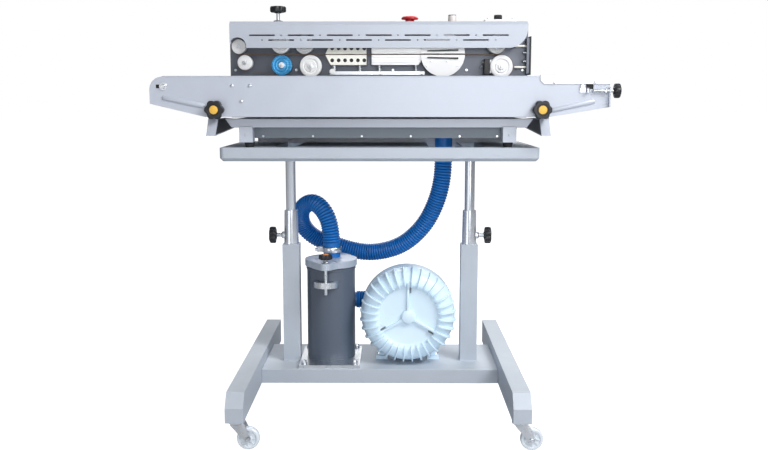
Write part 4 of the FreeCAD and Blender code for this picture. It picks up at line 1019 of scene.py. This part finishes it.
class SEALER_OT_head(SealerStep, Operator):
    """Panel, housing, drive unit and what stands on top"""

    bl_idname = "sealer.head"
    bl_label = "Head"

    def build(self):
        rounded_copy("head_panel", "head_paint", 0.0006)
        rounded_copy("head_housing", "head_paint", 0.0014)
        rounded_copy("drive_unit", "motor_iron", 0.001)
        self.end_bearing()
        self.tie_rods()
        lens = [(0, 26.2), (6.5, 26.2), (9.0, 25.2), (9.9, 23.2), (9.9, 4.0), (11.5, 3.6), (11.5, 0.2),
                (0, 0.2)]
        keep(lathe("signal_lamp", lens, at(174, 100, HEAD_TOP), (0, 0, 1), 40), "table", "lamp_lens")
        self.case_screws()
        boss = [(4.2, 0), (9.5, 0), (9.5, 7.0), (8.6, 8.2), (4.2, 8.2), (4.2, 0)]
        keep(lathe("pressure_boss", boss, at(-244.7, 64, 904.8), (0, 0, 1), 32), "table", "zinc")
        self.back_vents()
        self.tension_plate()

    def end_bearing(self):
        block = box_piece("end_bearing", [(at(244, 8, 783), at(257, 39.7, 820))], 0.0012)
        keep(block, "table", "black_plastic")
        cheek = box_piece("end_bearing_cheek", [(at(257.2, 10, 787), at(262, 39.7, 818))], 0.0008)
        keep(cheek, "table", "aluminium")
        places = [(at(240.0, 20, 802), (-1, 0, 0)), (at(243.9, 16, 812), (-1, 0, 0))]
        screws("end_bearing_screws", "table", places, 0.003, 0.003)

    def tie_rods(self):
        ends = [(at(312, 22, 850), at(356, 22, 850)), (at(316, 22, 801), at(356, 22, 801))]
        keep(rod_piece("tension_rods", ends, 0.0026, 20), "table", "brass")
        bar = box_piece("end_bar", [(at(350.2, 12, 783), at(354, 42, 872))], 0.0008)
        keep(bar, "table", "black_plastic")
        screws("end_bar_screws", "table", spots((-1, 0, 0), (344,), (26,), (835, 815)),
               0.0032, 0.007, 0.4, 12)

    def tension_plate(self):
        """Milled plate under the fine knob, in four bars round its stem, with four cap screws."""
        bars = [(at(x0, y0, 903.2), at(x1, y1, 916.3)) for x0, y0, x1, y1 in (
            (251.6, 73.6, 278.8, 126.4), (291.2, 73.6, 326.4, 126.4), (278.8, 73.6, 291.2, 93.8),
            (278.8, 106.2, 291.2, 126.4))]
        keep(box_piece("tension_plate", bars, 0.0002), "table", "aluminium")
        screws("tension_plate_screws", "table", spots((0, 0, 1), (259, 319), (81, 119), (916.3,)),
               0.0034, 0.0024, 0.5, 16)

    def case_screws(self):
        screws("panel_screws", "table", spots((0, -1, 0), (-345, -200, 30, 205, 338), (39.8,), (760, 795)),
               0.0036, 0.0026, 0.45, 16)
        back = spots((0, 1, 0), (-340, -115, 115, 333), (0,), (698, 888))
        for spot, _ in back:
            spot.y = edge("head_housing", 1, 1) - 0.0002
        screws("housing_screws", "table", back, 0.004, 0.0026, 0.45, 16)

    def back_vents(self):
        """Raised louvres over the fan and a row behind the motor."""
        rear = edge("head_housing", 1, 1)
        bm = bmesh.new()
        for x in (-190.0, 150.0):
            for i in range(9):
                z = 712.0 + 9.0 * i
                low, high = at(x, 0, z), at(x + 70, 0, z + 4.2)
                for v in add_box(bm, (low.x, rear - 0.0004, low.z), (high.x, rear + 0.003, high.z)):
                    if v.co.y > rear and v.co.z > low.z + 0.001:
                        v.co.y = rear - 0.0002
        keep(outward("housing_louvres", bm, 20.0), "table", "head_paint")


class SEALER_OT_guard(SealerStep, Operator):
    """Slotted sheet guard"""

    bl_idname = "sealer.guard"
    bl_label = "Guard"

    def build(self):
        rounded_copy("guard", "machine_paint", 0.0005)
        places = spots((0, 0, 1), (-325, -110, 110, 320), (26,), (0,))
        for spot, _ in places:
            spot.z = edge("guard", 2, 1)
        screws("guard_top_screws", "table", places, 0.0038, 0.002, 0.45, 18)


RIMS = {
    "grooved": ((0, 1.0), (0.30, 1.0), (0.33, 2.4), (0.42, 2.6), (0.45, 0.6), (0.56, 0.4), (0.60, 2.6),
                (0.69, 2.8), (0.73, 0.5), (0.84, 0.3), (0.87, 1.8), (0.92, 1.8), (0.95, 0.4), (0.985, 0.5),
                (1, 1.4)),
    "plain": ((0, 0.6), (0.86, 0.6), (0.95, 1.0), (1, 2.2)),
    "dished": ((0, 0.8), (0.52, 0.8), (0.56, 2.6), (0.66, 2.6), (0.69, 0.5), (0.93, 0.3), (0.985, 0.9),
               (1, 2.0)),
}
WHEELS = (
    ("upper_idler", "plain", "white_plastic"), ("upper_feed_wheel", "dished", "aluminium"),
    ("upper_press_wheel", "dished", "white_plastic"), ("upper_end_wheel", "dished", "white_plastic"),
    ("lower_idler", "plain", "white_plastic"), ("feed_wheel", "grooved", "blue_anodised"),
    ("press_wheel", "dished", "white_rubber"), ("lower_end_wheel", "dished", "white_plastic"),
)


class SEALER_OT_band_wheels(SealerStep, Operator):
    """Band wheels with their rings and hubs"""

    bl_idname = "sealer.band_wheels"
    bl_label = "Band wheels"

    def build(self):
        for node, rim, material in WHEELS:
            self.wheel(node, rim, material)
        rounded_copy("coding_wheel", "white_plastic", 0.0006)
        rounded_copy("bands", "ptfe", 0.0)

    def wheel(self, node, rim, material):
        low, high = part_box(node)
        r = (high[0] - low[0]) / 2 / MM
        face = middle_of(node)
        face.y = at(0, WHEEL_FACE, 0).y
        body = body_of(node)
        profile = [(r * share, rise) for share, rise in RIMS[rim]]
        profile += [(r, 19.0), (r * 0.96, 20.0), (8.0, 20.0), (8.0, 35.7), (5.0, 35.7), (0, 35.7)]
        turned = lathe(node + "_turning", profile, face, (0, 1, 0), 64)
        keep(turned, body, material, replaces=(node,))
        shaft = rod_piece(node + "_shaft", [(face + Vector((0, 0.035, 0)), face + Vector((0, 0.080, 0)))],
                          0.005, 24)
        keep(shaft, body, "zinc")
        sprocket = lathe(node + "_sprocket", [(5, 0), (12, 0.3), (12, 3.6), (5, 4), (5, 0)],
                         face + Vector((0, 0.0742, 0)), (0, 1, 0), 40)
        keep(sprocket, body, "motor_iron")
        cap = lathe(node + "_hub", [(0, -2.4), (r * 0.13, -2.4), (r * 0.15, -1.4), (r * 0.26, -1.2),
                                    (r * 0.29, -0.4), (r * 0.29, 1.4), (0, 1.4)], face, (0, 1, 0), 40)
        keep(cap, body, "white_plastic" if rim == "grooved" else "aluminium")
        screws(node + "_screw", body, [(face + Vector((0, -0.0024, 0)), (0, -1, 0))], r * 0.11 * MM,
               0.0014, 0.5, 14)
        if rim == "plain":
            reach = Vector((0.0045, 0, 0.0035))
            bar = box_piece(node + "_clip", [(face - reach - Vector((0, 0.0016, 0)),
                                              face + reach + Vector((0, 0.0006, 0)))], 0.0005)
            keep(bar, body, "zinc")
        if rim == "dished":
            bm = bmesh.new()
            for degrees in (30, 150, 270):
                a = math.radians(degrees)
                hole = face + Vector((math.cos(a), 0, math.sin(a))) * r * 0.4 * MM
                add_disc(bm, 0.0014, 0.001, hole, (0, -1, 0), 12)
            keep(outward(node + "_pins", bm), body, "zinc")


class SEALER_OT_press_blocks(SealerStep, Operator):
    """Heating blocks, cooling blocks and their spring rail"""

    bl_idname = "sealer.press_blocks"
    bl_label = "Press blocks"

    def build(self):
        rounded_copy("heating_blocks", "brass", 0.0006)
        rounded_copy("cooling_blocks", "aluminium", 0.0006)
        rounded_copy("block_rail", "zinc", 0.0005)
        self.bore_shade_discs()
        self.springs()
        screws("rail_screws", "table", spots((0, -1, 0), (-112, 0, 98), (3.8,), (787,)),
               0.0038, 0.0026, 0.5, 18)
        eye = lathe("rail_eye", [(0, -1.2), (6.2, -1.2), (7.0, -0.4), (7.0, 3.5), (0, 3.5)],
                    at(-112, 4, 790), (0, 1, 0), 32)
        keep(eye, "table", "white_plastic")
        self.cooling_grooves()

    def bore_shade_discs(self):
        """Painted shade: dark discs inside the heater bores."""
        bm = bmesh.new()
        for z in (BAND_LINE - 13.8, BAND_LINE + 13.8):
            for i in range(6):
                add_disc(bm, 0.0047, 0.012, at(-112.0 + 15.0 * i, 2.6, z), (0, 1, 0), 24)
        keep(outward("bore_shade_discs", bm), "table", "rubber")

    def springs(self):
        """Coil springs round the posts under the lower blocks."""
        bm = bmesh.new()
        wire = 0.0006
        steps = 56
        for x in (-108, -48, -2, 84):
            base = at(x, 14, 791.4)
            rows = []
            for i in range(steps + 1):
                a = 2 * math.pi * i / 14
                out = Vector((math.cos(a), math.sin(a), 0))
                centre = base + out * 0.0047 + Vector((0, 0, 0.0138 * i / steps))
                rows.append([centre + out * wire * math.cos(b) + Vector((0, 0, wire * math.sin(b)))
                             for b in (math.radians(60 * k) for k in range(6))])
            add_loft(bm, rows)
        keep(outward("post_springs", bm, 60.0), "table", "zinc")

    def cooling_grooves(self):
        """Fins along the front of the cooling blocks."""
        bm = bmesh.new()
        for sign in (-1, 1):
            for i in range(3):
                z = BAND_LINE + sign * (5.2 + 6.2 * i)
                add_box(bm, at(-19.2, 0.4, z - 1.5), at(101.2 - 3.2 * i, 2.4, z + 1.5))
        keep(round_edges(object_from("cooling_fins", bm), 0.0004), "table", "aluminium")


class SEALER_OT_coder(SealerStep, Operator):
    """Round two-part coder cover with its clamp bars"""

    bl_idname = "sealer.coder"
    bl_label = "Coder cover"

    def build(self):
        rounded_copy("coder_cover", "white_plastic", 0.0007)
        middle, face, rim = 146.0, -5.2, 44.0
        outline = [(-36, 6.2), (-36, 9.0), (36, 11.4), (36, 7.6)]
        bars = bmesh.new()
        for sign in (-1, 1):
            add_loft(bars, [[at(middle + x, y, BAND_LINE + sign * z) for x, z in outline]
                            for y in (face, face - 2.0)])
        keep(round_edges(outward("clamp_bars", bars, 20.0), 0.0004), "table", "black_plastic")
        screws("coder_screws", "table",
               spots((0, -1, 0), (120, 158), (face,), (BAND_LINE + 15.5, BAND_LINE - 15.5)),
               0.0026, 0.0018, 0.45, 14)
        ring = [(at(middle + rim * math.cos(a), face, BAND_LINE + rim * math.sin(a)), (0, -1, 0))
                for a in (math.radians(degrees) for degrees in (35, 145, -35, -145))]
        screws("coder_rim_screws", "table", ring, 0.003, 0.0014, 0.45, 14)


class SEALER_OT_knobs(SealerStep, Operator):
    """Star knobs, adjusting knobs, stop button and switch"""

    bl_idname = "sealer.knobs"
    bl_label = "Knobs"

    def build(self):
        for side, name in ((-1, "left"), (1, "right")):
            star_piece("column_knob_" + name, at(side * 250.0, 0, LOCK_HEIGHT), (side, 0, 0), 0.020, 0.015,
                       6, 0.0045, 0.0248)
        for x, name in ((-357.0, "left"), (352.0, "right")):
            star_piece("star_knob_" + name, at(x, -164.3, 703), (0, -1, 0), 0.0215, 0.0195, 6, 0.004,
                       0.0208, "yellow_cap")
        star_piece("tension_knob", at(508, *TENSION_AXIS), (1, 0, 0), 0.0158, 0.0125, 4, 0.0035, 0.046)
        star_piece("canister_knob", at(-127, -60.5, 355), (0, 0, 1), 0.016, 0.0115, 6, 0.004, 0.0858,
                   "orange_cap")
        star_piece("pressure_knob", at(-244.7, 64, 932), (0, 0, 1), 0.0195, 0.0138, 7, 0.004, 0.0438)
        self.ridged("fine_knob", at(285, 100, 917.6), (0, 0, 1), 0.0098, 0.0112, 24)
        stem = rod_piece("fine_knob_stem", [(at(285, 100, 896), at(285, 100, 918))], 0.005)
        keep(stem, "fine_knob", "zinc")
        top = [(10.9, -4), (10.9, 14), (12, 15), (19.4, 15), (20.5, 16.4), (20.2, 19), (17.5, 21.6),
               (12, 22.7), (0, 23)]
        keep(lathe("stop_mushroom", top, at(71, 100, HEAD_TOP), (0, 0, 1), 56), "stop_button", "red_plastic",
             replaces=("stop_button",))
        self.dial()
        self.switch()

    def ridged(self, node, origin, axis, radius, height, ridges):
        bm = bmesh.new()
        add_star(bm, origin, axis, radius, height, ridges, 0.07, ridges * 6)
        knob = object_from(node + "_moulding", bm)
        keep(knob, body_of(node), "black_plastic", replaces=(node,))

    def switch(self):
        """Rocker with a bezel of four bars round it."""
        rounded_copy("power_switch", "red_plastic", 0.0006)
        rear = edge("head_housing", 1, 1)
        bars = []
        for x0, x1, z0, z1 in ((-15, -12, 835, 865), (12, 15, 835, 865), (-12, 12, 835, 838),
                               (-12, 12, 862, 865)):
            low, high = at(x0, 0, z0), at(x1, 0, z1)
            low.y, high.y = rear, rear + 0.0016
            bars.append((low, high))
        keep(box_piece("switch_bezel", bars, 0.0006), "table", "black_plastic")

    def dial(self):
        """Speed dial with its white line and eleven dots round it."""
        centre = at(-60, 0, 850)
        centre.y = edge("head_housing", 1, 1) + 0.0014
        self.ridged("speed_dial", centre, (0, 1, 0), 0.014, 0.0135, 20)
        line = box_piece("speed_dial_line", [(centre + Vector((-0.0008, 0.0125, 0.002)),
                                              centre + Vector((0.0008, 0.0134, 0.0115)))], 0.0001)
        keep(line, "speed_dial", "white_plastic")
        marks = bmesh.new()
        for i in range(11):
            a = math.radians(225 - 27 * i)
            spot = centre + Vector((math.cos(a) * 0.0185, -0.0014, math.sin(a) * 0.0185))
            add_disc(marks, 0.0011, 0.0004, spot, (0, 1, 0), 12)
        keep(outward("dial_dots", marks), "table", "white_plastic")


class SEALER_OT_canister(SealerStep, Operator):
    """Filter canister, cast lid, crescent lug and hose clip"""

    bl_idname = "sealer.canister"
    bl_label = "Canister"

    def build(self):
        rounded_copy("canister_body", "canister_paint", 0.0008)
        rounded_copy("canister_lid", "cast_aluminium", 0.003)
        rounded_copy("canister_mount", "zinc", 0.0008)
        rounded_copy("canister_filter", "filter_felt", 0.0)
        band = [(21.7, -6), (23.9, -6), (24.4, -5), (24.4, 5), (23.9, 6), (21.7, 6), (21.7, -6)]
        keep(lathe("clip_band", band, at(-118, 32, 364), (0, 0, 1), 48), "stand", "zinc")
        house = box_piece("clip_housing", [(at(-154, 24, 358.5), at(-140, 33, 370))], 0.0012)
        keep(house, "stand", "zinc")
        screws("clip_screw", "stand", [(at(-154, 28, 364), (-1, 0, 0))], 0.0042, 0.005, 0.5, 6)
        screws("canister_bolts", "stand", spots((0, 0, 1), (-179, -59), (-72, 70), (112,)),
               0.006, 0.004, 0.5, 6)
        screws("lid_washer", "stand", [(at(-127, -60.5, 348), (0, 0, 1))], 0.0075, 0.003, 0.55, 20)
        rim = [(57.6, -9), (59.4, -8.4), (59.8, -6), (59.4, -3.6), (57.6, -3), (57.6, -9)]
        keep(lathe("canister_rim", rim, at(-119, 10, 330), (0, 0, 1), 72), "stand", "canister_paint")


class SEALER_OT_blower(SealerStep, Operator):
    """Ring blower castings with their fins and spokes"""

    bl_idname = "sealer.blower"
    bl_label = "Ring blower"

    def build(self):
        self.shell()
        self.fins()
        self.spokes()
        self.slits()
        screws("blower_bolts", "stand", spots((0, 0, 1), (-2.94, 135.94), (14, 80), (107,)),
               0.006, 0.005, 0.5, 6)
        rounded_copy("blower_housing", "blower_paint", 0.0012)
        rounded_copy("blower_impeller", "aluminium", 0.0)

    def hub(self):
        return at(66.5, -76.0, 218.6)

    def shell(self):
        profile = [(0, 14.0), (66, 14.0), (70, 13.0), (73.5, 9.6), (78, 8.2), (88, 9.6), (98, 14.0),
                   (105, 20.5), (108.5, 29.0), (109.6, 40.0), (110.6, 43.0), (112.2, 45.0), (112.2, 60.0),
                   (101, 60.0), (100, 40.0), (60, 38.0), (0, 38.0)]
        bm = bmesh.new()
        add_lathe(bm, [(r * MM, h * MM) for r, h in profile], self.hub(), (0, 1, 0), 128)
        keep(outward("blower_shell", bm, 50.0), "stand", "blower_paint", replaces=("blower_cover",))
        boss = lathe("blower_hub", [(0, 3.0), (9, 3.2), (14, 4.6), (16.4, 7.4), (17.4, 14.2), (0, 14.4)],
                     self.hub(), (0, 1, 0), 48)
        keep(boss, "stand", "blower_paint")

    def fins(self):
        """One fin, thick at its root, that follows the shell from the dish to the flange."""
        outer = [(71.5, 5.5), (75, 2.2), (82, 1.0), (92, 2.2), (101, 6.0), (108, 12.5), (112.8, 21.0),
                 (115.2, 31.0), (115.4, 45.5)]
        inner = [(70.0, 13.4), (74, 9.8), (79, 8.6), (88, 10.2), (97, 14.6), (104, 21.0), (108, 29.5),
                 (109.6, 39.0), (112.0, 44.5)]
        root, tip = 2.5, 1.5
        bm = bmesh.new()
        add_loft(bm, [[Vector((x * MM, y * MM, r * MM))
                       for x, y, r in ((-root, yi, ri), (-tip, yo, ro), (tip, yo, ro), (root, yi, ri))]
                      for (ro, yo), (ri, yi) in zip(outer, inner)])
        made = settle(outward("blower_fins", bm), tree_named("fin_ring"), Count=32, Offset=0.5,
                      Centre=self.hub(), Finish=finish("blower_paint"))
        keep(round_edges(made, 0.0006, 50.0), "stand", "blower_paint")

    def spokes(self):
        stations = ((10, 4.2, 6.0), (20, 4.0, 7.0), (66, 3.6, 8.0), (74, 3.6, 3.5), (84, 3.4, 1.6))
        bm = bmesh.new()
        for a in map(math.radians, (90, 210, 330)):
            way = Vector((math.cos(a), 0, math.sin(a)))
            across = Vector((-way.z, 0, way.x))
            add_loft(bm, [[self.hub() + way * r * MM + across * s * wide * MM + Vector((0, y * MM, 0))
                           for s, y in ((-1.0, 14.6), (-0.72, tall), (0.72, tall), (1.0, 14.6))]
                          for r, wide, tall in stations])
        keep(round_edges(outward("blower_spokes", bm, 40.0), 0.001, 30.0), "stand", "blower_paint")

    def slits(self):
        """A dark drain slot beside the outer end of each spoke."""
        bm = bmesh.new()
        for turn in (0, -120, -240):
            made = add_box(bm, (0.0050, 0.0068, 0.058), (0.0068, 0.0145, 0.0715))
            place = Matrix.Translation(self.hub()) @ Matrix.Rotation(math.radians(turn), 4, "Y")
            bmesh.ops.transform(bm, matrix=place, verts=made)
        keep(outward("spoke_slits", bm), "stand", "motor_iron")


HOSE_ROUTE = (
    (-118, 32, 346), (-118, 32, 398), (-130, 37, 450), (-164, 62, 481), (-200, 94, 458),
    (-202, 124, 412), (-166, 134, 374), (-110, 127, 358), (-52, 115, 343), (0, 100, 346),
    (58, 79, 368), (106, 57, 416), (134, 44, 471), (149, 35, 528), (152, 32, 583), (152, 32, 640),
)


class SEALER_OT_hoses(SealerStep, Operator):
    """Corrugated suction hose and the short link hose"""

    bl_idname = "sealer.hoses"
    bl_label = "Hoses"

    def build(self):
        self.main_hose()
        self.link_hose()

    def ribbed(self, curve, cuff):
        sizes = settings().hose
        return settle(curve, tree_named("corrugated_hose"), Radius=sizes.outside / 2, Pitch=sizes.pitch,
                      Rib=sizes.rib, Cuff=cuff, Sides=sizes.around, Finish=finish("hose_blue"))

    def main_hose(self):
        curve = route_curve("suction_hose", [at(*p) for p in HOSE_ROUTE])
        line = line_of(curve)
        hose = self.ribbed(curve, 0.034)
        hose.data.materials.clear()
        hose.data.materials.append(finish("hose_blue"))
        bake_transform(hose)
        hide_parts("main_hose")

    def link_hose(self):
        low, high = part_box("link_hose")
        middle = middle_of("link_hose")
        ends = [(x, middle.y, middle.z) for x in (low[0] - 0.0005, high[0] + 0.0005)]
        sleeve = self.ribbed(route_curve("link_sleeve", ends, "POLY"), 0.003)
        keep(sleeve, "stand", "hose_blue", replaces=("link_hose",))


STEPS = ("stage", "hoses", "stand", "casters", "shelf", "chassis", "conveyor", "head", "guard",
         "band_wheels", "press_blocks", "coder", "knobs", "canister", "blower")


class SEALER_PT_workshop(Panel):
    """Lists the settings and the building steps"""

    bl_idname = "SEALER_PT_workshop"
    bl_label = "Band Sealer"
    bl_space_type = "VIEW_3D"
    bl_region_type = "UI"
    bl_category = "Band Sealer"

    def draw(self, context):
        for group in (settings().paints, settings().hose, settings().hardware, settings().light):
            column = self.layout.column(align=True)
            for name in group.__annotations__:
                column.prop(group, name)
        for step in STEPS:
            self.layout.operator("sealer." + step)


CLASSES = (
    SealerPaints, HoseSizes, HardwareSizes, StageLight, SealerSettings, SEALER_OT_stage, SEALER_OT_hoses,
    SEALER_OT_stand, SEALER_OT_casters, SEALER_OT_shelf, SEALER_OT_chassis, SEALER_OT_conveyor,
    SEALER_OT_head, SEALER_OT_guard, SEALER_OT_band_wheels, SEALER_OT_press_blocks, SEALER_OT_coder,
    SEALER_OT_knobs, SEALER_OT_canister, SEALER_OT_blower, SEALER_PT_workshop,
)


def register():
    for cls in CLASSES:
        bpy.utils.register_class(cls)
    bpy.types.Scene.band_sealer = PointerProperty(type=SealerSettings)


def unregister():
    del bpy.types.Scene.band_sealer
    for cls in reversed(CLASSES):
        bpy.utils.unregister_class(cls)


def main():
    register()
    for step in STEPS:
        getattr(bpy.ops.sealer, step)()


if __name__ == "__main__":
    main()
